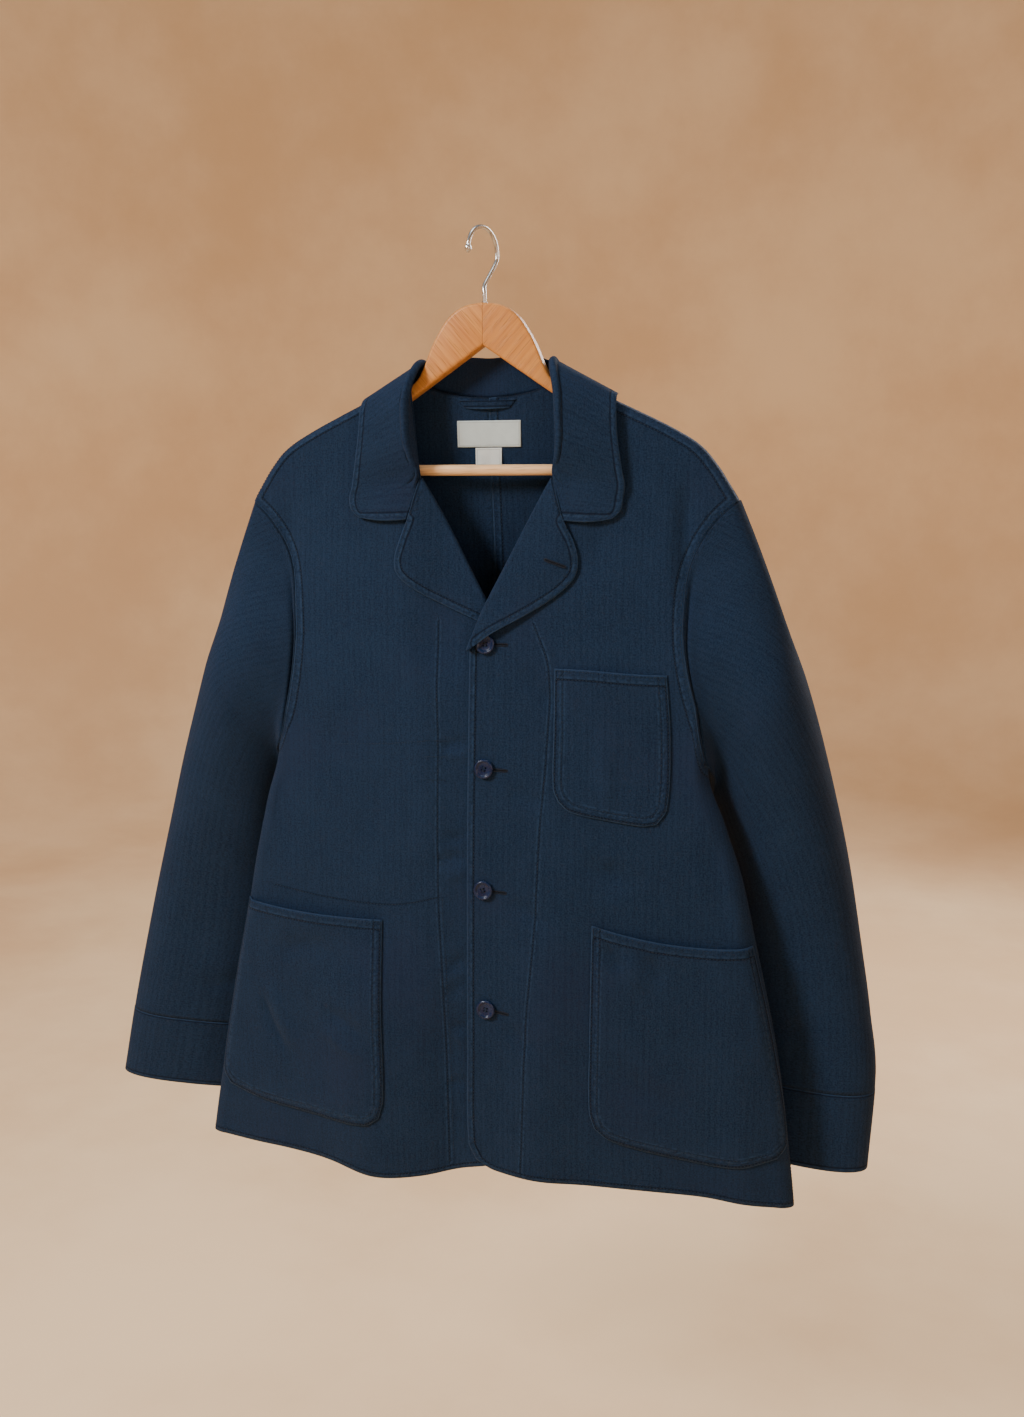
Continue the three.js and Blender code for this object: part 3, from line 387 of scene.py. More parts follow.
# Outlines of the panels, as (across, z)
NECK = (74, -127.5)
GORGE = (63, -221)
ROLL_V = (0, -340)
NOTCH = (75.5, -259)
GORGE_GAP = 0.3
ROUND_HEM = 26
BREAK_SHARE = 0.65
GORGE_SHARE = (0.9 - BREAK_SHARE) / (1 - BREAK_SHARE)
SEAM_SHARE = 0.52
NECK_SHARE = 0.34


# The fronts' hems, by the distance from the centre line
HEM = table(
    ["across", "left", "right"],
    [
        [-30, -881, -882.5],
        [0, -881, -882.5],
        [22, -883.3, -889],
        [50, -885.7, -897],
        [90, -886.2, -904.5],
        [117, -886, -906.6],
        [140, -886, -903],
        [165, -886, -898.5],
        [200, -886.3, -897.2],
        [245, -889.6, -897.6],
        [300, -893, -897],
        [320, -893, -897],
    ],
)


def hem_z(side, across):
    return HEM("left" if side > 0 else "right", across)


def ridge_z(side, face, across):
    if face < 0:
        return shoulder_z(front_place(side, across, np.full_like(across, RIDGE_LEVEL))[0])
    return shoulder_z(BACK_CENTRE_X + side * across)


def roll_line(side):
    edge, low = FRONT_EDGE[side], BREAK_Z[side]
    return line([[edge, low], [edge * 0.45, mix(ROLL_V[1], low, 0.45)], ROLL_V, [32, -280], GORGE])


def placket_line(side):
    edge, corner, low = FRONT_EDGE[side], ROUND_HEM * 0.3, float(hem_z(side, 0.0))
    return line([
        [edge + corner, low + corner], [edge, low + ROUND_HEM], [edge, -760], [edge, -600],
        [edge, -460], [edge, BREAK_Z[side]],
    ])


def front_outline(side):
    edge, corner, low = FRONT_EDGE[side], ROUND_HEM * 0.3, float(hem_z(side, 0.0))
    hem_across = [edge + corner, edge + ROUND_HEM, 60, 110, 160, 210, 250, 285]
    hem = [[across, float(hem_z(side, across))] for across in hem_across]
    hem[0][1] = low + corner
    end_z = float(hem_z(side, 300.0))
    hem.append([float(seam_across(side, float(HEM_Z))), end_z])
    neck = line([GORGE, [66.5, -196], [70, -165], [72.5, -142], NECK])
    shoulder = np.array([NECK[0], 100, 130, 160, 186, 200, 213, 224, SHOULDER_HALF], float)
    top = line(np.stack([shoulder, ridge_z(side, -1, shoulder)], -1))
    rolled = joined(roll_line(side), neck, GORGE_SHARE)
    inner = joined(placket_line(side), rolled, BREAK_SHARE)
    seam_zs = np.array([end_z, -820, -740, -660, -590, -535, ARMPIT_Z])
    arm_turn = float(turn_across(side, float(ARMPIT_Z)))
    arm_low = [arm_turn + float(corner_length(float(ARMPIT_Z))) * 0.42, -474]
    armhole = line([
        [float(seam_across(side, float(ARMPIT_Z))), ARMPIT_Z], arm_low, [206, -453], [194, -415],
        [187, -373], [187, -335], [191, -302], [200, -279], [215, -257], top(1.0),
    ])
    return {
        "bottom": line(hem), "top": top, "inner": pinned(inner, top(0.0)),
        "seam": line(np.stack([seam_across(side, seam_zs), seam_zs], -1)), "armhole": armhole,
    }


def back_outline(side):
    def seam_x(z):
        z = np.asarray(z, float)
        return np.abs(front_place(side, seam_across(side, z), z)[0] - BACK_CENTRE_X)

    low = HEM_Z - 6
    edges = {}
    for word, across, z in (("neck", NECK[0], NECK[1]), ("tip", SHOULDER_HALF, -237)):
        x = front_place(side, np.float64(across), np.float64(z))[0]
        edges[word] = abs(float(x) - BACK_CENTRE_X)
    shoulder = mix(edges["neck"], edges["tip"], np.array([0, 0.2, 0.4, 0.6, 0.75, 0.84, 0.92, 1]))
    shoulder_line = line(np.stack([shoulder, ridge_z(side, 1, shoulder)], -1))
    neck_line = line([[0, -147], [24, -145.4], [46, -141], [64, -134], shoulder_line(0.0)])
    seam_zs = np.array([low - 2, -820, -740, -660, -590, -535, ARMPIT_Z], float)
    hem = np.linspace(0, 1, 7)
    return {
        "bottom": line(np.stack([hem * seam_x(low), low - 2 * hem], -1)),
        "top": joined(neck_line, shoulder_line, NECK_SHARE),
        "inner": line([[0, low], [0, -700], [0, -500], [0, -300], [0, -147]]),
        "seam": line(np.stack([seam_x(seam_zs), seam_zs], -1)),
        "armhole": line([
            [float(seam_x(ARMPIT_Z)), ARMPIT_Z], [203, -462], [204, -430], [200, -380],
            [200, -335], [204, -295], [214, -265], shoulder_line(1.0),
        ]),
    }


OUTLINES = {
    (side, face): outline(side)
    for side in (1, -1) for face, outline in ((-1, front_outline), (1, back_outline))
}


def panel(side, face):
    """A panel's patch, with its upper rows kept in order under the shoulder's ridge."""
    edges = OUTLINES[side, face]
    outer = joined(edges["seam"], edges["armhole"], SEAM_SHARE)
    place = patch(edges["bottom"], edges["top"], edges["inner"], outer)

    def read(u, v):
        across, z = np.moveaxis(place(u, v), -1, 0)
        highest = ridge_z(side, face, across) - ROW_ROOM * (1 - np.asarray(v))
        return np.stack([across, np.where(across > SHOULDER_HALF + 1, z, np.minimum(z, highest))], -1)

    return read


# Sleeves: rings from the armhole to the cuff
RING_NAMES = ["ring", "outerX", "outerY", "outerZ", "innerX", "innerY", "innerZ", "deep"]
SLEEVES = {
    -1: table(RING_NAMES, [
        [0, 231, 0, -240, 186, 2, -482, 42],
        [1, 250, 0, -290, 200, 14, -494, 44],
        [2, 274, 3, -360, 209, 27, -513, 43],
        [3, 300, 8, -430, 213, 35, -540, 41],
        [4, 325, 14, -500, 216, 41, -574, 38],
        [5, 347, 20, -570, 222, 46, -616, 35],
        [6, 369, 26, -640, 231, 50, -666, 31],
        [7, 389, 30, -710, 243, 52, -724, 27],
        [8, 406, 32, -775, 257, 52, -786, 23],
        [9, 426, 34, -862, 276, 52, -872, 19],
    ]),
    1: table(RING_NAMES, [
        [0, 235, 0, -240, 203, 2, -482, 42],
        [1, 256, 0, -290, 212, 17, -496, 44],
        [2, 282, 3, -360, 215, 33, -517, 43],
        [3, 304, 8, -430, 220, 42, -545, 41],
        [4, 322, 14, -500, 228, 47, -578, 38],
        [5, 338, 20, -570, 234, 51, -618, 35],
        [6, 351, 26, -640, 237, 54, -666, 31],
        [7, 363, 30, -710, 237, 56, -720, 27],
        [8, 371, 32, -775, 235, 57, -781, 23],
        [9, 367, 34, -866, 231, 58, -872, 19],
    ]),
}
CUFF_RING = 8.15
SLEEVE_SQUARE = 0.9
SLEEVE_TAPER = 0.3
RING_STEP = 71
# The sleeves' creases, by turn (0 at the top of the arm, 0.5 under it) and by ring.
SLEEVE_FOLDS = [
    # side, turn0, ring0, turn1, ring1, width, height
    (-1, 0.10, 0.18, 0.34, 0.18, 8, -4.5),
    (-1, 0.25, 0.17, 0.52, 0.24, 9, -20.0),
    (-1, 0.40, 0.9, 0.34, 2.6, 14, -3.0),
    (-1, 0.46, 1.6, 0.38, 4.0, 12, -2.2),
    (-1, 0.22, 2.4, 0.33, 5.2, 20, 2.4),
    (-1, 0.12, 4.4, 0.22, 7.6, 18, -1.8),
    (-1, 0.36, 5.2, 0.30, 8.0, 14, 1.8),
    (-1, 0.42, 7.0, 0.24, 7.7, 9, -1.4),
    (-1, 0.62, 1.0, 0.72, 3.4, 16, 3.0),
    (-1, 0.58, 4.0, 0.80, 4.9, 12, -2.4),
    (-1, 0.60, 4.6, 0.78, 5.8, 13, 2.2),
    (-1, 0.86, 2.6, 0.74, 6.4, 18, 2.2),
    (1, 0.10, 0.18, 0.34, 0.18, 8, -4.0),
    (1, 0.27, 0.16, 0.52, 0.20, 9, -13.0),
    (1, 0.40, 0.8, 0.32, 2.4, 15, -2.6),
    (1, 0.47, 1.4, 0.40, 4.4, 14, -2.8),
    (1, 0.20, 2.0, 0.30, 5.6, 22, 2.2),
    (1, 0.13, 4.6, 0.20, 7.8, 18, -1.6),
    (1, 0.38, 5.0, 0.28, 7.9, 14, 2.0),
    (1, 0.40, 6.9, 0.22, 7.4, 10, -1.3),
    (1, 0.62, 1.2, 0.74, 3.2, 16, 2.8),
    (1, 0.60, 3.8, 0.82, 4.6, 12, -2.2),
    (1, 0.58, 4.8, 0.76, 5.6, 13, 2.4),
    (1, 0.84, 2.8, 0.76, 6.6, 18, 2.0),
]


def sleeve_fold(side, turn, ring, round_about):
    height = 0.0
    for row_side, turn0, ring0, turn1, ring1, width, high in SLEEVE_FOLDS:
        if row_side != side:
            continue
        dx, dz = (turn1 - turn0) * round_about, (ring1 - ring0) * RING_STEP
        x, z = (turn - turn0) * round_about, (ring - ring0) * RING_STEP
        length = np.hypot(dx, dz)
        t = (x * dx + z * dz) / length**2
        away = (x * dz - z * dx) / length
        ends = rise(-0.1, 0.35, t) * (1 - rise(0.65, 1.1, t))
        height = height + high * ends * np.exp(-((away / width) ** 2))
    return height * rise(0, 0.14, ring) * (1 - rise(7.6, CUFF_RING, ring))


def ring_point(side, ring, turn):
    angle = turn * 2 * math.pi

    def place(word):
        x, y, z = (SLEEVES[side](word + axis, ring) for axis in "XYZ")
        return np.stack([side * x, y, z], -1)

    outer, inner = place("outer"), place("inner")
    half = (outer - inner) / 2
    front = np.array([0, -1, 0]) + half * (half[..., 1] / (half**2).sum(-1))[..., None]
    power_cos, power_sin = (
        np.sign(w) * np.abs(w) ** SLEEVE_SQUARE for w in (np.cos(angle), np.sin(angle))
    )
    round_about = 2 * np.linalg.norm(half, axis=-1) + 2 * SLEEVES[side]("deep", ring)
    deep = SLEEVES[side]("deep", ring) * (1 + SLEEVE_TAPER * np.cos(angle))
    deep = deep + sleeve_fold(side, turn, ring, round_about) * np.sign(np.sin(angle)) * np.abs(power_sin)
    forward = unit(front) * (deep * power_sin)[..., None]
    return (outer + inner) / 2 + half * power_cos[..., None] + forward


def armhole_point(side, turn):
    """The armhole's closed line: from the shoulder tip down the front, and up the back."""
    front, back = OUTLINES[side, -1]["armhole"], OUTLINES[side, 1]["armhole"]
    down, up = np.clip(1 - turn * 2, 0, 1), np.clip(turn * 2 - 1, 0, 1)
    on_front = front_point(side, *np.moveaxis(front(down), -1, 0))
    on_back = back_point(side, *np.moveaxis(back(up), -1, 0))
    return np.where((turn < 0.5)[..., None], on_front, on_back)


def sleeve_point(side, turn, ring):
    turn, ring = np.broadcast_arrays(np.asarray(turn, float), np.asarray(ring, float))
    turn = np.clip(turn, 0, 1)
    fade = 1 - rise(0, 2.6, ring)
    shift = armhole_point(side, turn) - ring_point(side, np.zeros_like(ring), turn)
    return ring_point(side, ring, turn) + shift * fade[..., None]


# Lapels and pockets, laid on the fronts
ROLL_RADIUS = 3.3
LAPEL_CLOTH = 1.5
FACING_TAB = 7
LAPEL_OVER_BUTTON = 4.6
LAPEL_TOP = (64, -222)
LAPEL_BELLY = 2.2
# The lapels' free edges, from the foot of the roll line to the notch, as (across, z)
LAPEL_RIM = {
    1: [[-5, -370], [8, -361], [40, -344], [71, -325], [86.5, -310], [90, -297], [86, -279]],
    -1: [[-18, -363], [8, -351], [40, -337], [67, -323], [82.5, -310], [86, -297], [82, -279]],
}


def lapel_place(side):
    notch = [NOTCH[0] - GORGE_GAP, NOTCH[1]]
    rim = line([*LAPEL_RIM[side], notch])
    bottom = line([[FRONT_EDGE[side], BREAK_Z[side]], LAPEL_RIM[side][0]])
    top = line([LAPEL_TOP, notch])
    return patch(bottom, top, pinned(roll_line(side), top(0.0)), rim)


def lapel_point(side, u, v):
    """From u 0 at the roll to 1 at the free edge; below 0 the cloth goes round the roll."""
    u, v = np.broadcast_arrays(np.asarray(u, float), np.asarray(v, float))
    at = np.clip(u, 0, 1)
    across, z = np.moveaxis(lapel_place(side)(at, v), -1, 0)
    proud = (LAPEL_OVER_BUTTON if side > 0 else 0) * (1 - rise(0, 0.5, v))
    lift = ROLL_RADIUS - CLOTH / 2 + proud + LAPEL_BELLY * np.sin(math.pi * at) * v
    lying = lifted(front_point, side, across, z, lift)
    edge = front_point(side, across, z)
    out = unit(lifted(front_point, side, across, z, 1.0) - edge)
    away = front_point(side, across - 3, z + 2) - edge
    away = unit(away - out * (away * out).sum(-1, keepdims=True))
    middle = edge + out * ((proud - CLOTH) / 2)[..., None]
    reach = ROLL_RADIUS + proud / 2
    angle = math.pi / 2 * np.clip(-u, 0, 2)
    rolled = middle + out * (reach * np.cos(angle))[..., None]
    rolled = rolled + away * (ROLL_RADIUS * np.sin(angle))[..., None]
    tab = FACING_TAB * (1 - 0.8 * v) * np.clip(-u - 2, 0, 1)
    return np.where((u >= 0)[..., None], lying, rolled - away * tab[..., None])


POCKETS = {
    "chest_pocket": {
        "side": 1, "lift": 0.6, "gape": 0.6,
        "inner": [[72, -513], [67, -500], [67, -450], [68, -391]],
        "outer": [[163, -529], [172, -514], [174, -450], [172, -394]],
        "bottom": [[72, -513], [84, -522], [120, -528], [150, -531], [163, -529]],
        "top": [[68, -391], [100, -391.5], [140, -393.5], [172, -394]],
    },
    "hip_pocket_left": {
        "side": 1, "lift": 1.6, "gape": 0.8,
        "inner": [[109, -826], [104, -808], [104, -740], [105, -627]],
        "outer": [[279, -842], [291, -826], [278, -735], [258, -638]],
        "bottom": [[109, -826], [124, -837], [180, -848], [240, -853], [279, -842]],
        "top": [[105, -627], [140, -634], [180, -639], [220, -640], [258, -638]],
    },
    "hip_pocket_right": {
        "side": -1, "lift": 1.6, "gape": 3.4,
        "inner": [[106, -842], [101, -822], [101, -740], [101, -640]],
        "outer": [[280, -838], [291, -820], [278, -735], [258, -634]],
        "bottom": [[106, -842], [122, -852], [180, -852], [240, -848], [280, -838]],
        "top": [[101, -640], [140, -640], [180, -639], [220, -637], [258, -634]],
    },
}


def pocket_place(name):
    row = POCKETS[name]
    return patch(*(line(row[word]) for word in ("bottom", "top", "inner", "outer")))


def pocket_lift(name, u, v):
    """How far a pocket stands off the front: sewn down at its sides and foot, slack between."""
    row = POCKETS[name]
    u, v = np.clip(u, 0, 1), np.clip(v, 0, 1)
    slack = row["lift"] + 2.4 * np.sin(math.pi * u) * rise(0.2, 1, v)
    held = rise(0, 0.07, u) * (1 - rise(0.93, 1, u)) * rise(0, 0.06, v)
    gape = row["gape"] * np.sin(math.pi * u) ** 1.3 * rise(0.8, 1, v)
    return mix(0.3, slack, held) + gape


def pocket_point(name, u, v):
    row = POCKETS[name]
    across, z = np.moveaxis(pocket_place(name)(u, v), -1, 0)
    return lifted(front_point, row["side"], across, z, CLOTH + pocket_lift(name, u, v))


# Collar: from the neck seam up the stand, over the fold, and down the fall to its edge
COLLAR = table(
    ["turn", "seamX", "seamY", "seamZ", "foldX", "foldY", "foldZ", "edgeX", "edgeY", "edgeZ", "round"],
    [
        [0, 0, 17.6, -146.6, 0, 16, -113, 0, 34, -166, 3.2],
        [0.18, 30, 16.4, -144, 27, 16, -111.5, 46, 34, -169, 3.2],
        [0.34, 59, 14.8, -137, 45, 14.6, -113.5, 88, 31, -170, 3.2],
        [0.4, 70.5, 12.4, -131, 55, 12, -116, 104, 22, -161, 3],
        [0.43, 75, 8.6, -126.8, 60, 8, -116, 112, 12.5, -152.4, 2.8],
        [0.46, 75.8, 1, -125.4, 60, 0, -115, 118.5, 1.5, -147.4, 2.8],
        [0.485, 76.4, -8.5, -127.8, 61.5, -9, -118, 119.8, -9.5, -150.6, 2.8],
        [0.52, 76, -12.5, -138, 63.5, -15.5, -125, 121, -15, -160, 3],
        [0.6, 72.5, -13.5, -158, 69, -23, -148, 122, -17, -177, 3],
        [0.72, 68.5, -15, -188, 70, -25, -184, 125.5, -17.5, -203, 2.4],
        [0.84, 65, -15.8, -214, 65, -18.8, -216, 130, -16.6, -228, 1.2],
    ],
)
# Past the gorge the collar lies flat: from the gorge to its corner.
COLLAR_END = [
    ((67.8, -232.5), (130.5, -239)), ((72.3, -247), (128.5, -249.5)), ((76.1, -258.6), (121, -256.5)),
]
COLLAR_HALF = [
    0, 0.1, 0.18, 0.26, 0.34, 0.4, 0.43, 0.46, 0.485, 0.52, 0.56, 0.6, 0.66, 0.72, 0.78, 0.84,
    0.88, 0.94, 1,
]
STAND = 0.42
FALL = 0.56
STAND_LEFT = 0.05
COLLAR_LIFT = 2.5
FOLD_SHIFT = 2.2


def collar_rib(side, turn, w):
    """The collar's line from seam to edge at one turn, for the shares w of its width."""
    centre_x = mix(BACK_CENTRE_X, NECK_CENTRE_X, float(rise(0.15, 0.45, turn)))
    if turn > 0.85:
        last = round((turn - 0.88) / 0.06)
        seam, edge = (np.array(p, float) for p in COLLAR_END[last])
        t = np.where(w < STAND, STAND_LEFT * w / STAND, mix(STAND_LEFT, 1, (w - STAND) / (1 - STAND)))
        place = mix(seam, edge, t[:, None])
        bow = 2.2 * np.sin(math.pi * t) * (last == 2)
        lift = COLLAR_LIFT + 1.6 * np.sin(math.pi * t)
        return lifted(front_point, side, place[:, 0], place[:, 1] - bow, lift)

    def at(word):
        x, y, z = (float(COLLAR(word + axis, turn)) for axis in "XYZ")
        return np.array([centre_x + side * x, y, z])

    seam, fold, edge = at("seam"), at("fold"), at("edge")
    fold[0] -= FOLD_SHIFT * float(rise(0.3, 0.42, turn) * (1 - rise(0.6, 0.8, turn)))
    high = float(COLLAR("round", turn))
    across = unit(edge - seam)
    top = fold + across * high * 2
    crown = unit(np.cross(np.cross(edge - fold, seam - fold), across))
    crown = crown if crown[2] >= 0 else -crown
    t = w[:, None]
    stand = mix(seam, fold, t / STAND)
    over = np.clip((t - STAND) / (FALL - STAND), 0, 1)
    fold_over = mix(fold, top, over) + crown * high * np.sin(math.pi * over)
    fall = mix(top, edge, (t - FALL) / (1 - FALL))
    return np.where(t <= STAND, stand, np.where(t < FALL, fold_over, fall))


def smooth_ribs(ribs, at):
    """Points between ribs, along a smooth line through their points; `at` counts in ribs."""
    last = len(ribs) - 1
    i = np.clip(np.floor(at).astype(int), 0, last - 1)
    t = (at - i)[:, None]
    p0, p1 = ribs[np.maximum(i - 1, 0)], ribs[i]
    p2, p3 = ribs[i + 1], ribs[np.minimum(i + 2, last)]
    d01, d12, d23 = (
        np.maximum(np.linalg.norm(b - a, axis=-1, keepdims=True), 1e-6)
        for a, b in ((p0, p1), (p1, p2), (p2, p3))
    )
    d01, d23 = np.where(d01 < 1e-5, d12, d01), np.where(d23 < 1e-5, d12, d23)
    m1 = ((p1 - p0) / d01 * d12 + (p2 - p1) / d12 * d01) / (d01 + d12) * d12
    m2 = ((p2 - p1) / d12 * d23 + (p3 - p2) / d23 * d12) / (d12 + d23) * d12
    t = t[..., None] if p1.ndim == 3 else t
    a, b = t * t * (3 - 2 * t), t * (1 - t)
    return p1 * (1 - a) + p2 * a + b * ((1 - t) * m1 - t * m2)


# Making cloth: a grid of squares, each corner set on its surface
def placed(name, data):
    """An object put in the scene."""
    thing = bpy.data.objects.new(name, data)
    bpy.context.scene.collection.objects.link(thing)
    return thing


def mesh_of(name, bm):
    """A mesh filled from a bmesh, which is then done with."""
    mesh = bpy.data.meshes.new(name)
    bm.to_mesh(mesh)
    bm.free()
    return mesh


def distance(points, path):
    """How far each point is from a path, both flat."""
    a, b = path[:-1], path[1:]
    way = b - a
    length = np.maximum((way**2).sum(1), 1e-9)
    best = np.full(len(points), 1e9)
    for start, step, squared in zip(a, way, length):
        t = np.clip((points - start) @ step / squared, 0, 1)
        best = np.minimum(best, ((points - start - t[:, None] * step) ** 2).sum(1))
    return np.sqrt(best)


def inset(path, depth):
    """A path moved to its left by a depth."""
    tangent = unit(np.gradient(path, axis=0))
    normal = np.stack([-tangent[:, 1], tangent[:, 0]], -1)
    return path + normal * (np.zeros(len(path)) + depth)[:, None]


def resampled(path, step):
    """The same path with its points a step apart."""
    run = run_of(path)
    at = np.linspace(0, run[-1], max(2, int(run[-1] / step) + 1))
    return np.stack([np.interp(at, run, column) for column in path.T], -1)


def shell(name, us, vs, point, place, flip=False, closed=False, thick=CLOTH, marks=None):
    """A cloth piece: its outer face on the surface, its thickness inwards.

    point(u, v) gives its shape and place(u, v) its flat cut, both in millimetres; marks holds
    what its finish reads at each corner.
    """
    bm = bmesh.new()
    bmesh.ops.create_grid(bm, x_segments=len(us) - 1, y_segments=len(vs) - 1, size=1)
    mesh = mesh_of(name, bm)
    co = np.empty(len(mesh.vertices) * 3)
    mesh.vertices.foreach_get("co", co)
    x, y = co.reshape(-1, 3)[:, 0], co.reshape(-1, 3)[:, 1]
    column = np.rint((x + 1) / 2 * (len(us) - 1)).astype(int)
    row = np.rint((y + 1) / 2 * (len(vs) - 1)).astype(int)
    u, v = us[column], vs[row]
    flat = place(u, v)
    mesh.vertices.foreach_set("co", (point(u, v) * MM).ravel())
    loops = np.empty(len(mesh.loops), np.int32)
    mesh.loops.foreach_get("vertex_index", loops)
    layer = mesh.uv_layers.new(name="cut")
    layer.data.foreach_set("uv", (flat[loops] * MM).astype(np.float32).ravel())
    values = {"edge": 99.0, "row": 99.0, "facing": 99.0, "bag": -99.0}
    for mark, read in (marks or {}).items():
        values[mark] = read(flat)
    for mark, value in values.items():
        attribute = mesh.attributes.new(mark, "FLOAT", "POINT")
        attribute.data.foreach_set("value", (np.zeros(len(flat)) + value).astype(np.float32))
    bm = bmesh.new()
    bm.from_mesh(mesh)
    if closed:
        bmesh.ops.remove_doubles(bm, verts=bm.verts[:], dist=1e-6)
    if flip:
        bmesh.ops.reverse_faces(bm, faces=bm.faces[:])
    bm.to_mesh(mesh)
    bm.free()
    mesh.shade_smooth()
    piece = placed(name, mesh)
    if thick:
        wall = piece.modifiers.new("wall", "SOLIDIFY")
        wall.thickness = thick * MM
        wall.offset = -1
    return piece


def near(edges):
    """The distance to the nearest edge, from (path, stitch depth) pairs."""
    return lambda flat: np.min([distance(flat, path) for path, _ in edges], axis=0)


def rows_of(edges):
    """How far a place is inside the stitch row that runs along the nearest edge."""
    return lambda flat: np.min([distance(flat, path) - depth for path, depth in edges], axis=0)


def finished(piece, material, slot, *nodes):
    piece.data.materials.append(material)
    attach(piece, "root")
    if nodes:
        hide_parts(*nodes)
    return piece


# Stitches: slim grains of thread, laid end to end along a path on a surface
PITCH = 3.2
STITCH = (2.5, 0.62, 0.55)
shake = np.random.default_rng(7)


class Thread:
    """The stitches of one panel."""

    def __init__(self, name):
        self.name, self.rows = name, []

    def grains(self, start, end, normal, size=STITCH):
        middle, way = (start + end) / 2, end - start
        length = np.linalg.norm(way, axis=-1) * 0.5
        self.rows.append((middle, unit(way), unit(normal), length, size[1] / 2, size[2] / 2))

    def sew(self, point, path, out=1, lift=0.2, pitch=PITCH, size=STITCH, nudge=0.5):
        """Sews along a path of (u, v) places that point() reads."""
        u, v = path[:, 0], path[:, 1]
        du = point(u + nudge, v) - point(u - nudge, v)
        dv = point(u, v + nudge) - point(u, v - nudge)
        normal = unit(np.cross(du, dv)) * out
        at = point(u, v) + normal * lift
        run = run_of(at)
        count = int(run[-1] / pitch)
        if count < 1:
            return
        centre = (np.arange(count) + 0.5) * run[-1] / count
        half = size[0] / 2 * shake.uniform(0.92, 1.06, count)

        def read(values, s):
            return np.stack([np.interp(s, run, column) for column in values.T], -1)

        start, end = read(at, centre - half), read(at, centre + half)
        sideways = unit(np.cross(end - start, read(normal, centre)))
        slip = sideways * shake.normal(0, 0.07, (count, 1))
        self.grains(start + slip, end - slip, read(normal, centre), size)

    def made(self, material):
        parts = []
        for middle, way, normal, length, wide, high in self.rows:
            across = unit(np.cross(normal, way))
            up = np.cross(way, across)
            parts.append((middle, way * length[:, None], across * wide, up * high))
        middle, way, across, up = (np.concatenate(group) for group in zip(*parts))
        bm = bmesh.new()
        bmesh.ops.create_icosphere(bm, subdivisions=1, radius=1)
        grain = np.array([v.co for v in bm.verts])
        while len(bm.verts) < len(middle) * len(grain):
            bmesh.ops.duplicate(bm, geom=bm.verts[:] + bm.edges[:] + bm.faces[:])
        bm.verts.ensure_lookup_table()
        bmesh.ops.delete(bm, geom=bm.verts[len(middle) * len(grain):], context="VERTS")
        mesh = mesh_of(self.name, bm)
        x, y, z = (grain[None, :, i, None] for i in range(3))
        co = middle[:, None] + way[:, None] * x + across[:, None] * y + up[:, None] * z
        mesh.vertices.foreach_set("co", (co * MM).ravel())
        mesh.shade_smooth()
        return finished(placed(self.name, mesh), material, "cloth")


# Materials
class Value:
    """A socket's value, with the sums that the finishes use."""

    def __init__(self, finish, socket):
        self.finish, self.socket = finish, socket

    def sum(self, operation, *others):
        inputs = dict(enumerate([self, *others]))
        return self.finish.node("ShaderNodeMath", {"operation": operation}, inputs)

    def __add__(self, other):
        return self.sum("ADD", other)

    def __sub__(self, other):
        return self.sum("SUBTRACT", other)

    def __mul__(self, other):
        return self.sum("MULTIPLY", other)

    def __rsub__(self, other):
        return (self * -1).sum("ADD", other)

    __radd__ = __add__
    __rmul__ = __mul__

    def smooth(self, start, end):
        """0 before start, 1 after end, and smooth between."""
        settings = {"interpolation_type": "SMOOTHSTEP"}
        inputs = {"Value": self, "From Min": start, "From Max": end}
        return self.finish.node("ShaderNodeMapRange", settings, inputs)

    def ridge(self, width):
        """1 where the value is 0, fading to 0 a width away."""
        return 1 - self.sum("ABSOLUTE").smooth(0, width)


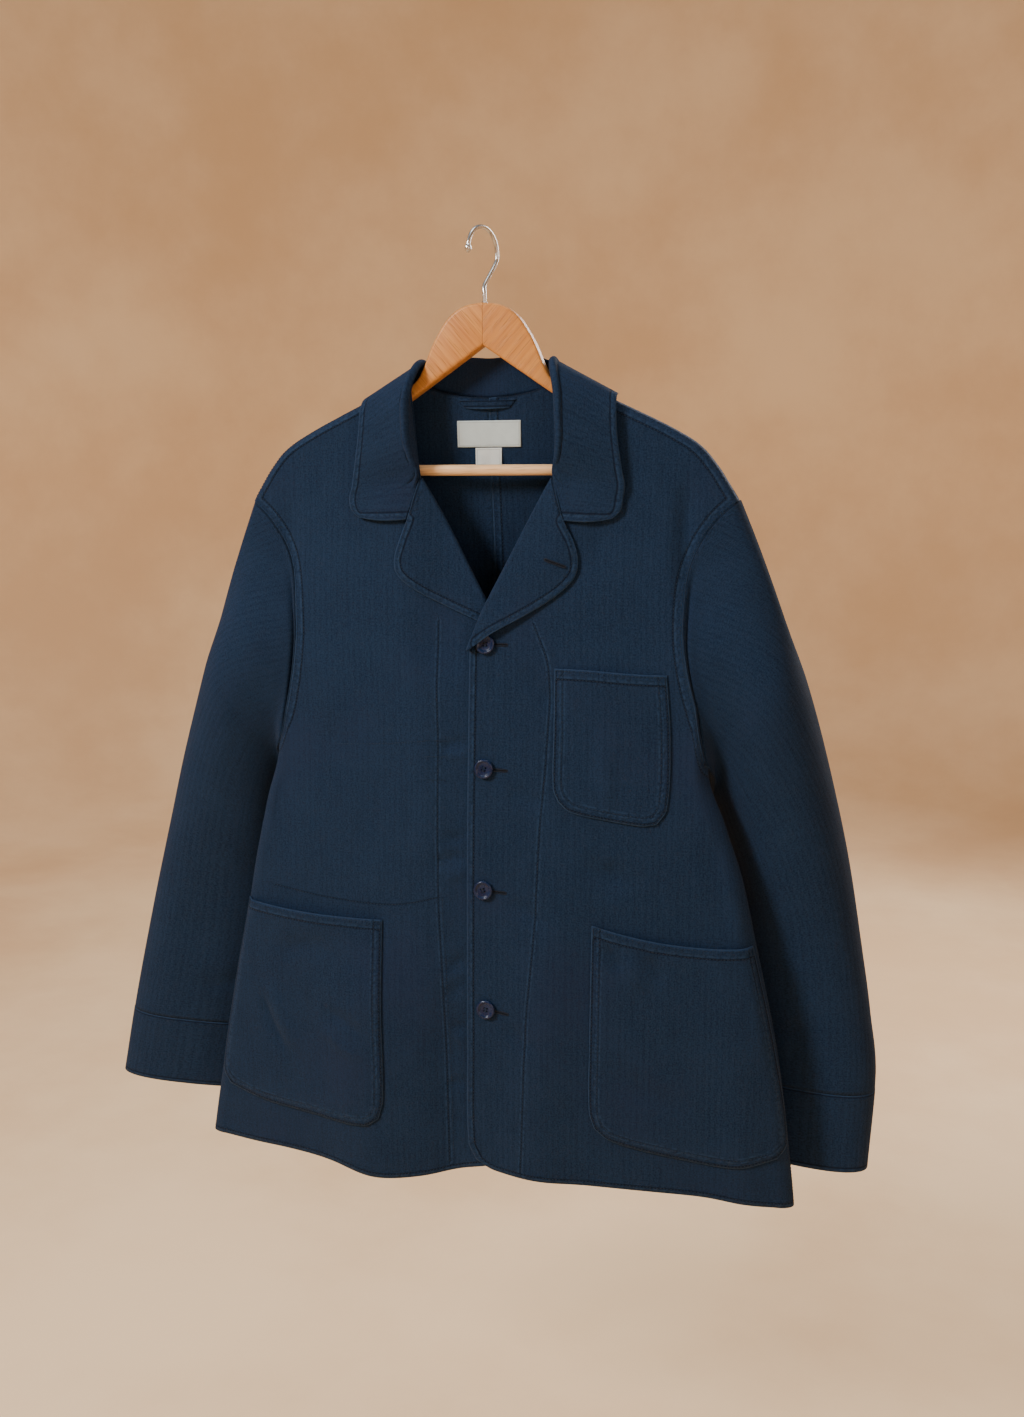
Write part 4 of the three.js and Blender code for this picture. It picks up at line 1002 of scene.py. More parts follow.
class Finish:
    """One material: its nodes, and the shader that they feed."""

    def __init__(self, name, **constants):
        self.material = bpy.data.materials.new(name)
        self.material.use_nodes = True
        self.tree = self.material.node_tree
        self.shader = self.tree.nodes["Principled BSDF"]
        for socket, value in constants.items():
            self.shader.inputs[socket.replace("_", " ")].default_value = value

    def node(self, kind, settings=None, inputs=None, output=0):
        node = self.tree.nodes.new(kind)
        for word, value in (settings or {}).items():
            if word == "stops":
                for stop, (position, colour) in zip(node.color_ramp.elements, value):
                    stop.position, stop.color = position, (*colour, 1)
            else:
                setattr(node, word, value)
        for word, value in (inputs or {}).items():
            self.feed(node.inputs[word], value)
        return Value(self, node.outputs[output])

    def feed(self, socket, value):
        if isinstance(value, Value):
            self.tree.links.new(value.socket, socket)
        elif isinstance(value, tuple) and len(value) == 3 and len(socket.default_value) == 4:
            socket.default_value = (*value, 1)
        else:
            socket.default_value = value

    def mark(self, name):
        return self.node("ShaderNodeAttribute", {"attribute_name": name}, output=2)

    def mapped(self, vector, scale=(1, 1, 1), turn=(0, 0, 0)):
        inputs = {"Vector": vector, "Scale": scale, "Rotation": turn}
        return self.node("ShaderNodeMapping", {}, inputs)

    def noise(self, vector, scale, detail=3.0, rough=0.5):
        inputs = {"Vector": vector, "Scale": scale, "Detail": detail, "Roughness": rough}
        return self.node("ShaderNodeTexNoise", {}, inputs)

    def tinted(self, factor, a, b, kind="MIX"):
        settings = {"data_type": "RGBA", "blend_type": kind, "clamp_factor": True}
        return self.node("ShaderNodeMix", settings, {0: factor, 6: a, 7: b}, output=2)

    def end(self, colour, roughness, height=None):
        self.feed(self.shader.inputs["Base Color"], colour)
        self.feed(self.shader.inputs["Roughness"], roughness)
        if height is not None:
            inputs = {"Height": height, "Distance": 1.0, "Strength": 1.0}
            self.feed(self.shader.inputs["Normal"], self.node("ShaderNodeBump", {}, inputs))
        return self.material


NAVY = (0.0042, 0.0142, 0.0400)
NAVY_LIGHT = (0.0165, 0.040, 0.088)
NAVY_DARK = (0.0014, 0.0047, 0.0140)
NAVY_WARM = (0.0115, 0.0176, 0.0500)


def cloth_finish(name):
    """Navy herringbone, lighter where its sewn edges rub, with painted shade in the dent along each row and
    painted highlights on the puckers beside the rows.
    """
    f = Finish(name, Sheen_Weight=0.02, Sheen_Roughness=0.45, Specular_IOR_Level=0.15)
    cut = f.node("ShaderNodeUVMap", {"uv_map": "cut"})
    split = f.node("ShaderNodeSeparateXYZ", {}, {0: cut})
    u = split * 1000
    v = Value(f, split.socket.node.outputs[1]) * 1000
    wander = f.noise(cut, 9.0, 2.0) * 1.6
    stripe = (u + wander).sum("PINGPONG", 2.8)
    twill = ((v + stripe) * (2 * math.pi / 0.8)).sum("SINE")
    warp = (u * (2 * math.pi / 0.42)).sum("SINE")
    lane = (u + wander + 1.4).sum("PINGPONG", 2.8).smooth(1.0, 1.8)
    slub = f.noise(f.mapped(cut, (1, 0.16, 1)), 900, 2.0)
    streak = f.noise(f.mapped(cut, (1, 0.07, 1)), 230, 3.0, 0.6)
    weft = f.noise(f.mapped(cut, (0.12, 1, 1)), 700, 2.0, 0.6)
    grain = f.noise(cut, 620, 3.0, 0.65)
    mottle = f.noise(cut, 22, 4.0, 0.6)
    cloud = f.noise(cut, 5.5, 3.0, 0.55)
    edge, row = f.mark("edge"), f.mark("row")
    facing, bag = f.mark("facing"), f.mark("bag")
    # The dents along the stitch rows and the second rows: they dent the bump, and they also darken the colour
    # as painted shade in the dents.
    row_groove_and_painted_shade = row.ridge(1.5)
    second = facing.ridge(1.3).sum("MAXIMUM", bag.ridge(1.3))
    turned = 1 - row.smooth(-1.2, 0.4)
    pucker = f.noise(cut, 95, 2.0)
    rope = f.noise(cut, 270, 1.0)
    band = 1 - edge.smooth(5, 12)
    rub = (1 - edge.smooth(0.3, 1.7)) * (0.3 + rope * 1.2)
    # Painted highlights: the colour is lightened on the puckered ridges beside the stitch rows and beside the
    # second rows.
    beside = (facing.sum("ABSOLUTE") - 2.0).ridge(1.4)
    high = (row + 2.0).ridge(2.2).sum("MAXIMUM", beside) * rope.smooth(0.36, 0.62)
    inner = bag.smooth(0, 2)
    colour = f.tinted(slub.smooth(0.25, 0.8) * 0.34 + grain.smooth(0.35, 0.72) * 0.4, NAVY, NAVY_LIGHT)
    colour = f.tinted((1 - grain.smooth(0.32, 0.52)) * 0.5, colour, NAVY_DARK)
    thin = (1 - streak.smooth(0.34, 0.5)) * 0.13 + (1 - weft.smooth(0.3, 0.5)) * 0.12
    colour = f.tinted(thin, colour, NAVY_DARK)
    colour = f.tinted(cloud.smooth(0.5, 0.72) * 0.35, colour, NAVY_WARM)
    threads_shown = streak.smooth(0.5, 0.75) * 0.09 + weft.smooth(0.5, 0.8) * 0.1
    shade = lane * 0.10 + threads_shown + mottle.smooth(0.3, 0.8) * 0.16
    colour = f.tinted(shade, colour, NAVY_LIGHT)
    # Lighter at the rubbed edges, which is the cloth's wear, and on the puckers beside the rows, which is a
    # painted highlight.
    colour = f.tinted(rub * 0.85 + high * 0.8 + inner * 0.05, colour, NAVY_LIGHT)
    # Painted shade: the colour is darkened in the dents of the stitch rows and the second rows.
    colour = f.tinted(row_groove_and_painted_shade * 0.8 + second * 0.6, colour, NAVY_DARK)
    weave = twill * 0.045 + warp * 0.02 + slub * 0.10 + grain * 0.08
    ruffled = row.ridge(10) * 1.3 + facing.ridge(8) * 0.6
    ruffles = (pucker - 0.5) * ruffled + (rope - 0.5) * (band * 1.3)
    seams = turned * 0.2 - row_groove_and_painted_shade * 0.18 - second * 0.16 + ruffles
    soft = mottle * 0.35 + f.noise(cut, 60, 2.0) * 0.30
    return f.end(colour, 0.86 - rub * 0.08 + grain * 0.08, (weave + seams + soft) * MM)


def thread_finish():
    f = Finish("navy thread", Sheen_Weight=0.02, Specular_IOR_Level=0.2)
    place = f.node("ShaderNodeTexCoord", output=3)
    ply = f.noise(place, 1500, 2.0)
    colour = f.tinted(ply, (0.005, 0.013, 0.030), (0.018, 0.036, 0.070))
    return f.end(colour, 0.62 + ply * 0.2, ply * (0.12 * MM))


def label_finish(name, base):
    """A woven tape: fine ribs both ways, with a folded, slightly raised border."""
    f = Finish(name, Sheen_Weight=0.25, Specular_IOR_Level=0.3)
    cut = f.node("ShaderNodeUVMap", {"uv_map": "cut"})
    split = f.node("ShaderNodeSeparateXYZ", {}, {0: cut})
    u, v = split * 1000, Value(f, split.socket.node.outputs[1]) * 1000
    ribs = (u * (2 * math.pi / 0.34)).sum("SINE") * 0.5 + (v * (2 * math.pi / 0.5)).sum("SINE")
    cloud = f.noise(cut, 120, 3.0)
    edge = f.mark("edge")
    border = (edge - 1.7).ridge(0.7)
    colour = f.tinted(cloud * 0.5 + border * 0.6, base, tuple(c * 0.62 for c in base))
    colour = f.tinted(ribs.smooth(0.2, 1.4) * 0.25, colour, tuple(min(1, c * 1.2) for c in base))
    height = ribs * 0.03 + cloud * 0.15 - border * 0.12
    return f.end(colour, 0.66 + cloud * 0.15, height * MM)


def wood_finish(name, tilt, pale, dark, knots=1.0, coat=0.12):
    """Varnished wood: long grain streaks along an arm that slopes by tilt degrees."""
    f = Finish(name, Coat_Weight=coat, Coat_Roughness=0.25, Specular_IOR_Level=0.3)
    place = f.node("ShaderNodeTexCoord", output=3)
    along = f.mapped(place, turn=(0, math.radians(tilt), 0))
    bend = f.noise(f.mapped(along, (6, 6, 14)), 1.0, 2.0) * 0.016 * knots
    split = f.node("ShaderNodeSeparateXYZ", {}, {0: along})
    across = Value(f, split.socket.node.outputs[2])
    deep = Value(f, split.socket.node.outputs[1])
    rings = ((across + bend + deep * 0.4) * 700).sum("SINE")
    streak = f.noise(f.mapped(along, (7, 260, 330)), 1.0, 4.0, 0.65)
    pore = f.noise(f.mapped(along, (40, 900, 1500)), 1.0, 2.0)
    board = f.noise(f.mapped(along, (5, 12, 22)), 1.0, 2.0)
    colour = f.tinted(rings.smooth(-0.4, 1.0) * 0.13 + streak.smooth(0.35, 0.75) * 0.5, pale, dark)
    colour = f.tinted(board.smooth(0.35, 0.7) * 0.25, colour, dark)
    colour = f.tinted(pore.smooth(0.56, 0.72) * 0.5, colour, tuple(c * 0.45 for c in dark))
    height = streak * 0.06 - pore.smooth(0.56, 0.72) * 0.12 + rings * 0.015
    return f.end(colour, 0.34 + streak * 0.22, height * MM)


def button_finish():
    f = Finish("glossy navy button", Coat_Weight=0.12, Coat_Roughness=0.14, Specular_IOR_Level=0.3)
    place = f.node("ShaderNodeTexCoord", output=3)
    swirl = f.noise(place, 160, 3.0, 0.6)
    scratch = f.noise(f.mapped(place, (900, 900, 60)), 1.0, 2.0)
    colour = f.tinted(swirl.smooth(0.3, 0.75), (0.0022, 0.0110, 0.046), (0.0050, 0.0190, 0.068))
    return f.end(colour, 0.25 + scratch.smooth(0.5, 0.8) * 0.1, (swirl * 0.008 + scratch * 0.002) * MM)


def steel_finish():
    f = Finish("polished steel wire", Metallic=1.0)
    place = f.node("ShaderNodeTexCoord", output=3)
    cloud = f.noise(place, 90, 3.0)
    draw = f.noise(f.mapped(place, (900, 900, 90)), 1.0, 2.0)
    colour = f.tinted(cloud, (0.46, 0.45, 0.43), (0.70, 0.69, 0.67))
    return f.end(colour, 0.16 + draw * 0.14 + cloud * 0.06, draw * (0.03 * MM))


def buttonhole_finish():
    """Satin thread round a slit painted near black as the shade inside the cut; u runs along the slit and v
    across it.
    """
    f = Finish("buttonhole thread", Sheen_Weight=0.02, Specular_IOR_Level=0.2)
    cut = f.node("ShaderNodeUVMap", {"uv_map": "cut"})
    split = f.node("ShaderNodeSeparateXYZ", {}, {0: cut})
    u, v = split * 1000, Value(f, split.socket.node.outputs[1]) * 1000
    whip = ((u + v * 0.3) * (2 * math.pi / 0.55)).sum("SINE")
    slit = v.ridge(0.55) * f.mark("facing").smooth(1.2, 2.0)
    colour = f.tinted(whip.smooth(-0.6, 1) * 0.7, (0.003, 0.008, 0.020), (0.013, 0.027, 0.056))
    # Painted shade: the slit is coloured near black for the shade inside the cut.
    colour = f.tinted(slit.smooth(0.1, 0.5), colour, (0.001, 0.0015, 0.003))
    return f.end(colour, 0.6 + whip * 0.08, (whip * 0.1 - slit * 0.6) * MM)


CLOTH_FINISH = cloth_finish("navy herringbone")
THREAD = thread_finish()
HOLE_FINISH = buttonhole_finish()


def marked(edges, **extra):
    return {"edge": near(edges), "row": rows_of(edges), **extra}


SHARES = np.linspace(0, 1, 241)
threads = {}


def thread(name):
    return threads.setdefault(name, Thread(name))


def area_of(outline):
    x, y = outline[:, 0], outline[:, 1]
    return abs(float(np.dot(x, np.roll(y, -1)) - np.dot(y, np.roll(x, -1)))) / 2


def rim_of(lines):
    """A panel's five edges as one closed outline."""
    up = [lines["bottom"], lines["seam"], lines["armhole"]]
    return np.concatenate([*up, lines["top"][::-1], lines["inner"][::-1]])


sheets = []


def cloth_sheet(piece, flat, rests_on, held="hung", area=None, stitched=()):
    """Notes a sheet with its stitches; sizes in millimetres."""
    sheets.append((piece, flat, rests_on, held, area, stitched))


# Fronts
FACING_LINES = {
    1: [(48, -352), (62, -391), (60, -470), (55, -540), (51, -640), (44, -726), (39, -861), (38, -882)],
    -1: [(46, -352), (46, -420), (45, -461), (44, -613), (40, -700), (37, -876), (37, -884)],
}
BAG_LINE = [(45, -613), (78, -622), (108, -625), (166, -623), (217, -617)]
BAG_TOP = [(56, -463), (100, -468), (147, -471)]
ROWS = spans((0.52, 104), (0.9, 76), (0.985, 22), (1, 10))
FRONT_COLUMNS = spans((0.75, 66), (1, 34))
BACK_COLUMNS = spans((0.3, 26), (0.38, 12), (1, 52))
HEM_ROW = 4.4
PLACKET_ROW = 6.6
FELL = 8.4
SEAM_ROW = 1.7
# The short bars that close the inner pocket's end, by height, and their stitches
BAG_BARS = (-462.5, -477.5, -499.5)
BAR_PITCH = 1.2
BAR_STITCH = (1.6, 0.6, 0.5)


def signed(path):
    """Distance to a path, less than 0 on its left."""
    def read(flat):
        away = distance(flat, path)
        nearest = np.argmin(((flat[:, None] - path[None, ::8]) ** 2).sum(-1), axis=1) * 8
        nearest = np.clip(nearest, 0, len(path) - 2)
        way = path[nearest + 1] - path[nearest]
        gap = flat - path[nearest]
        return np.where(way[:, 0] * gap[:, 1] - way[:, 1] * gap[:, 0] > 0, -away, away)

    return read


for side, word in SIDES:
    edges = OUTLINES[side, -1]
    place = panel(side, -1)
    lines = {name: edges[name](SHARES) for name in edges}
    placket = placket_line(side)(SHARES)
    rim = resampled(np.concatenate([lines["bottom"][::-1], placket[1:]]), 1.5)
    facing = resampled(line(FACING_LINES[side])(SHARES), 1.5)
    sewn = [
        (lines["bottom"], HEM_ROW), (placket, PLACKET_ROW), (lines["seam"], FELL),
        (lines["armhole"], FELL), (lines["top"], FELL),
    ]
    marks = marked(sewn, facing=signed(facing))
    if side < 0:
        bag = resampled(line(BAG_LINE)(SHARES), 1.5)
        marks["bag"] = lambda flat, bag=bag: -signed(bag)(flat)
    front = shell(
        f"cloth_front_{word}", FRONT_COLUMNS, ROWS,
        lambda u, v: front_point(side, *np.moveaxis(place(u, v), -1, 0)), place,
        flip=side < 0, marks=marks,
    )
    finished(front, CLOTH_FINISH, "cloth", f"front_{word}")
    name = f"stitching_front_{word}"
    sewing = thread(name)
    cloth_sheet(
        front, (345, 770), ["hanger_arm_" + word, f"cloth_back_{word}"], area=area_of(rim_of(lines)),
        stitched=[name],
    )

    def on_front(across, z, side=side):
        return front_point(side, across, z)

    share = np.linspace(0, 1, len(rim))
    depth = mix(HEM_ROW, PLACKET_ROW, rise(0.36, 0.44, share))
    sewing.sew(on_front, inset(rim, -depth)[4:], out=side)
    for key, way in (("armhole", 1), ("seam", 1), ("top", -1)):
        for depth in (SEAM_ROW, FELL):
            path = inset(resampled(lines[key], 2), way * depth)[2:-2]
            sewing.sew(on_front, path, out=side)
    sewing.sew(on_front, facing, out=side)
    if side < 0:
        sewing.sew(on_front, bag, out=side)
        sewing.sew(on_front, resampled(line(BAG_TOP)(SHARES), 1.5), out=side)
        sewing.sew(on_front, inset(facing[facing[:, 1] < -613], -4), out=side)
        for z in BAG_BARS:
            path = np.array([[37, z], [48, z - 0.3], [58, z - 0.5]])
            sewing.sew(on_front, path, out=side, pitch=BAR_PITCH, size=BAR_STITCH)

# Backs
for side, word in SIDES:
    edges = OUTLINES[side, 1]
    place = panel(side, 1)
    lines = {name: edges[name](SHARES) for name in edges}
    fell = FELL if side > 0 else -5
    sewn = [
        (lines["bottom"], HEM_ROW), (lines["inner"], fell), (lines["seam"], 0.5), (lines["armhole"], FELL),
        (lines["top"], 0.5),
    ]
    back = shell(
        f"cloth_back_{word}", BACK_COLUMNS, ROWS,
        lambda u, v: back_point(side, *np.moveaxis(place(u, v), -1, 0)), place,
        flip=side > 0, marks=marked(sewn),
    )
    finished(back, CLOTH_FINISH, "cloth", f"back_{word}")
    name = f"stitching_back_{word}"
    sewing = thread(name)
    cloth_sheet(
        back, (310, 770), ["hanger_arm_" + word, "cloth_collar"], area=area_of(rim_of(lines)),
        stitched=[name],
    )

    def on_back(across, z, side=side):
        return back_point(side, across, z)

    sewing.sew(on_back, inset(resampled(lines["bottom"], 2), HEM_ROW)[1:-2], out=-side)
    for depth in (SEAM_ROW, FELL):
        sewing.sew(on_back, inset(resampled(lines["armhole"], 2), depth)[2:-2], out=-side)
        if side > 0:
            sewing.sew(on_back, inset(resampled(lines["inner"], 2), -depth)[1:], out=-side)
            sewing.sew(on_back, inset(resampled(lines["inner"], 2), -depth)[1:], out=side, lift=CLOTH + 0.2)

# Sleeves and cuffs
CUFF_END = 9
CUFF_STEP = 92
CUFF_DEEP = (CUFF_END - CUFF_RING) * CUFF_STEP
SLEEVE_SEAM = 0.478
SEAM_OFF = 10.5


def flat_round(side, ring):
    """How long the sleeve is round a ring, laid flat."""
    read = SLEEVES[side]
    high = sum((read("outer" + axis, ring) - read("inner" + axis, ring)) ** 2 for axis in "XYZ") ** 0.5
    return 2 * high + 1.1 * read("deep", ring)


for side, word in SIDES:
    def flat_sleeve(u, v, side=side):
        ring = mix(CUFF_RING, 0, v)
        return np.stack([(u - 0.5) * flat_round(side, ring), -ring * RING_STEP], -1)

    def flat_cuff(u, v, side=side):
        ring = mix(CUFF_END, CUFF_RING, v)
        return np.stack([(u - 0.5) * flat_round(side, ring), (CUFF_RING - ring) * CUFF_STEP], -1)

    sleeve = shell(
        f"cloth_sleeve_{word}", np.linspace(0, 1, 97), spans((0.7, 108), (1, 62)),
        lambda u, v: sleeve_point(side, u, mix(CUFF_RING, 0, v)), flat_sleeve, flip=side < 0, closed=True,
        marks={
            "edge": lambda flat: np.minimum(-flat[:, 1], 99),
            "row": lambda flat: -flat[:, 1] - 0.8,
            "facing": lambda flat: flat[:, 0] + SEAM_OFF,
        },
    )
    finished(sleeve, CLOTH_FINISH, "cloth", f"sleeve_{word}")
    cuff = shell(
        f"cloth_cuff_{word}", np.linspace(0, 1, 97), np.linspace(0, 1, 25),
        lambda u, v: sleeve_point(side, u, mix(CUFF_END, CUFF_RING, v)), flat_cuff,
        flip=side < 0, closed=True, thick=TURNED_CLOTH,
        marks={
            "edge": lambda flat: np.minimum(-flat[:, 1], flat[:, 1] + CUFF_DEEP),
            "row": lambda flat: np.minimum(-flat[:, 1] - 2.0, flat[:, 1] + CUFF_DEEP - HEM_ROW),
            "facing": lambda flat: flat[:, 0] + SEAM_OFF,
        },
    )
    finished(cuff, CLOTH_FINISH, "cloth", f"cuff_{word}")
    name = f"stitching_sleeve_{word}"
    sewing = thread(name)
    sleeve_area, cuff_wide = ((145000, 296), (160000, 308))[side < 0]
    cloth_sheet(sleeve, (490, 580), ["cloth_front_" + word], area=sleeve_area, stitched=[name])
    cloth_sheet(cuff, (cuff_wide, 84), ["cloth_sleeve_" + word])

    def on_sleeve(turn, ring, side=side):
        return sleeve_point(side, turn / 100, ring)

    for turn in (SLEEVE_SEAM, SLEEVE_SEAM - 0.019):
        rings = np.linspace(0.15, CUFF_END - 0.03, 200)
        sewing.sew(on_sleeve, np.stack([rings * 0 + turn * 100, rings], -1), out=-side, nudge=0.01)
    for ring in (CUFF_RING + 0.025, CUFF_END - 0.05):
        turns = np.linspace(1, 99, 300)
        sewing.sew(on_sleeve, np.stack([turns, turns * 0 + ring], -1), out=-side, nudge=0.01)

# Lapels
LAPEL_COLUMNS = np.concatenate([[-3, -2.6, -2.3], np.linspace(-2, 0, 13), np.linspace(0, 1, 31)[1:]])
for side, word in SIDES:
    flat_lapel = lapel_place(side)

    def place(u, v, flat_lapel=flat_lapel):
        return flat_lapel(np.clip(u, 0, 1), v) + np.stack([np.minimum(u, 0) * 5, u * 0], -1)

    rim, top = flat_lapel(np.ones(241), SHARES), flat_lapel(SHARES, np.ones(241))
    lapel = shell(
        f"cloth_lapel_{word}", LAPEL_COLUMNS, np.linspace(0, 1, 61),
        lambda u, v: lapel_point(side, u, v), place, flip=side < 0, thick=LAPEL_CLOTH,
        marks=marked([(rim, PLACKET_ROW), (top, 1.5)]),
    )
    finished(lapel, CLOTH_FINISH, "cloth", f"lapel_{word}")
    name = f"stitching_lapel_{word}"
    sewing = thread(name)
    cloth_sheet(lapel, (130, 165), ["cloth_front_" + word], held="folded", area=9500, stitched=[name])
    shares = np.linspace(0, 1, 161)
    wide = np.linalg.norm(flat_lapel(np.ones(161), shares) - flat_lapel(np.zeros(161), shares), axis=1)
    u = np.clip(1 - PLACKET_ROW / np.maximum(wide, 1) * 1.12, 0.02, 1)
    keep = (shares > 0.03) & (shares < 0.955)
    path = np.stack([u, shares], -1)[keep]
    inward = np.linspace(1, 0.1, 40)[:, None]
    path = np.concatenate([path, np.stack([path[-1, 0] * inward[:, 0], 0.955 + 0 * inward[:, 0]], -1)[1:]])

    def on_lapel(u, v, side=side):
        return lapel_point(side, np.clip(u / 100, 0, 1), np.clip(v / 100, 0, 1))

    sewing.sew(on_lapel, path * 100, out=side)

# Pockets
POCKET_ROW = 2.0
SECOND_ROW = 8.2
MOUTH_ROW = 9.5
TACK_STITCH = (1.5, 0.7, 0.6)
for name, row in POCKETS.items():
    side, place = row["side"], pocket_place(name)
    lines = {word: line(row[word])(SHARES) for word in ("inner", "outer", "bottom", "top")}
    mouth = lines["top"]
    sewn = [(lines[word], POCKET_ROW) for word in ("inner", "outer", "bottom")] + [(mouth, MOUTH_ROW)]
    rim = resampled(np.concatenate([lines["inner"][::-1], lines["bottom"][1:], lines["outer"][1:]]), 1.5)
    second = inset(rim, SECOND_ROW)
    marks = marked(sewn, facing=lambda flat, second=second: distance(flat, second))
    pocket = shell(
        f"cloth_{name}", np.linspace(0, 1, 57), np.linspace(0, 1, 65),
        lambda u, v: pocket_point(name, u, v), place, flip=side < 0, marks=marks,
    )
    finished(pocket, CLOTH_FINISH, "cloth", name)
    sewn_name = f"stitching_{name}"
    sewing = thread(sewn_name)
    sizes = np.ptp(rim, axis=0)
    area = area_of(np.concatenate([rim, mouth[::-1]]))
    carrier = "cloth_front_left" if side > 0 else "cloth_front_right"
    cloth_sheet(
        pocket, tuple(float(size) for size in sizes), [carrier], held="laid", area=area, stitched=[sewn_name]
    )

    def on_pocket(across, z, side=side, name=name, lines=lines):
        share = np.clip((z - lines["inner"][0, 1]) / (lines["inner"][-1, 1] - lines["inner"][0, 1]), 0, 1)
        ends = [np.interp(share, SHARES, lines[word][:, 0]) for word in ("inner", "outer")]
        u = np.clip((across - ends[0]) / (ends[1] - ends[0]), 0, 1)
        low, high = (np.interp(u, SHARES, lines[word][:, 1]) for word in ("bottom", "top"))
        v = np.clip((z - low) / (high - low), 0, 1)
        return lifted(front_point, side, across, z, CLOTH + pocket_lift(name, u, v))

    for depth in (POCKET_ROW, SECOND_ROW):
        sewing.sew(on_pocket, inset(rim, depth)[3:-3], out=side)
    for depth in (-POCKET_ROW, -MOUTH_ROW):
        sewing.sew(on_pocket, inset(resampled(mouth, 1.5), depth)[2:-2], out=side)
    for end, way in ((0, 1), (-1, -1)):
        corner = mouth[end] + np.array([way * 1.5, -1.5])
        tack = np.array([corner, corner + (way * 8, 0), corner + (way * 0.5, -9), corner])
        sewing.sew(on_pocket, resampled(tack, 0.5), out=side, pitch=1.5, size=TACK_STITCH, lift=0.4)

# Collar
WIDE = spans((STAND, 12), (FALL, 14), (1, 26))
control = [-t for t in reversed(COLLAR_HALF[1:])] + COLLAR_HALF
ribs = np.array([collar_rib(1 if t >= 0 else -1, abs(t), WIDE) for t in control])
ALONG = np.linspace(0, len(control) - 1, 36 * 6 + 1)
net = smooth_ribs(ribs, ALONG)
WIDE_RUN = np.array([run_of(rib) for rib in net])
EDGE_RUN = run_of(net[:, -6])


def net_read(values, u, w):
    """Reads a net of values at columns u (0 to 1) and widths w."""
    i = np.clip(u, 0, 1) * (len(ALONG) - 1)
    low = np.clip(np.floor(i).astype(int), 0, len(ALONG) - 2)
    j = np.interp(w, WIDE, np.arange(len(WIDE)))
    down = np.clip(np.floor(j).astype(int), 0, len(WIDE) - 2)
    a, b = i - low, j - down
    if values.ndim == 3:
        a, b = a[..., None], b[..., None]
    near_side, far_side = (mix(values[low, row], values[low + 1, row], a) for row in (down, down + 1))
    return mix(near_side, far_side, b)


def collar_flat(u, w):
    across = np.interp(np.clip(u, 0, 1) * (len(ALONG) - 1), np.arange(len(ALONG)), EDGE_RUN)
    whole = net_read(WIDE_RUN, u, np.ones_like(w))
    return np.stack([across, net_read(WIDE_RUN, u, w) - whole], -1)


COLLAR_LONG = EDGE_RUN[-1]
collar = shell(
    "cloth_collar", np.linspace(1, 0, len(ALONG)), WIDE, lambda u, w: net_read(net, u, w), collar_flat,
    thick=TURNED_CLOTH,
    marks={
        "edge": lambda flat: np.min([-flat[:, 1], flat[:, 0], COLLAR_LONG - flat[:, 0]], axis=0),
        "row": lambda flat: np.min([-flat[:, 1], flat[:, 0], COLLAR_LONG - flat[:, 0]], axis=0) - PLACKET_ROW,
    },
)
finished(collar, CLOTH_FINISH, "cloth", "collar")
sewing = thread("stitching_collar")


def on_collar(u, w):
    return net_read(net, np.clip(u / 1000, 0, 1), np.clip(w / 1000, 0, 1))


fall_run = WIDE_RUN[:, -1:] - WIDE_RUN
w_row = np.array([np.interp(-PLACKET_ROW, -run, WIDE) for run in fall_run])
u_all = np.linspace(0, 1, len(ALONG))
inside_ends = (EDGE_RUN > PLACKET_ROW + 1) & (EDGE_RUN < COLLAR_LONG - PLACKET_ROW - 1)
row_path = np.stack([u_all, w_row], -1)[inside_ends]
u_in = float(np.interp(PLACKET_ROW, EDGE_RUN, u_all))
for u_end, first in ((u_in, row_path[0]), (1 - u_in, row_path[-1])):
    ws = np.linspace(0.47, first[1], 40)
    sewing.sew(on_collar, np.stack([ws * 0 + u_end, ws], -1) * 1000, out=-1, nudge=0.3)
sewing.sew(on_collar, row_path * 1000, out=-1, nudge=0.3)
cloth_sheet(collar, (COLLAR_LONG, float(WIDE_RUN[:, -1].max())), ["cloth_front_left", "cloth_back_left"],
            held="folded", area=COLLAR_LONG * float(WIDE_RUN[:, -1].mean()), stitched=["stitching_collar"])

# Inside the neck: the loop and the bare labels
LOOP = {"x0": -27, "x1": 29, "z": -148.4, "high": 8, "slant": 6}
LABELS = {
    "neck_label": ({"x0": -29, "x1": 32.5, "z0": -191.5, "z1": -167.5}, 0.6, (0.60, 0.72, 0.74)),
    "size_label": ({"x0": -12, "x1": 13.5, "z0": -209, "z1": -192.1}, 1.6, (0.72, 0.80, 0.80)),
}


def inside_point(x, z, off):
    """A place on the inside of the back, standing off it."""
    left = x >= BACK_CENTRE_X
    across = np.abs(x - BACK_CENTRE_X)
    off = -(CLOTH + LIE_GAP) - off
    return np.where(
        left[..., None], lifted(back_point, 1, across, z, off), lifted(back_point, -1, across, z, off)
    )


def loop_place(u, v):
    x = mix(LOOP["x0"] + LOOP["slant"] * (1 - v), LOOP["x1"] - LOOP["slant"] * (1 - v), u)
    return np.stack([x, LOOP["z"] - LOOP["high"] * (1 - v) - 1.2 * np.sin(math.pi * u)], -1)


def loop_point(u, v):
    x, z = np.moveaxis(loop_place(u, v), -1, 0)
    return inside_point(x, z, 2.6 * np.sin(math.pi * u))


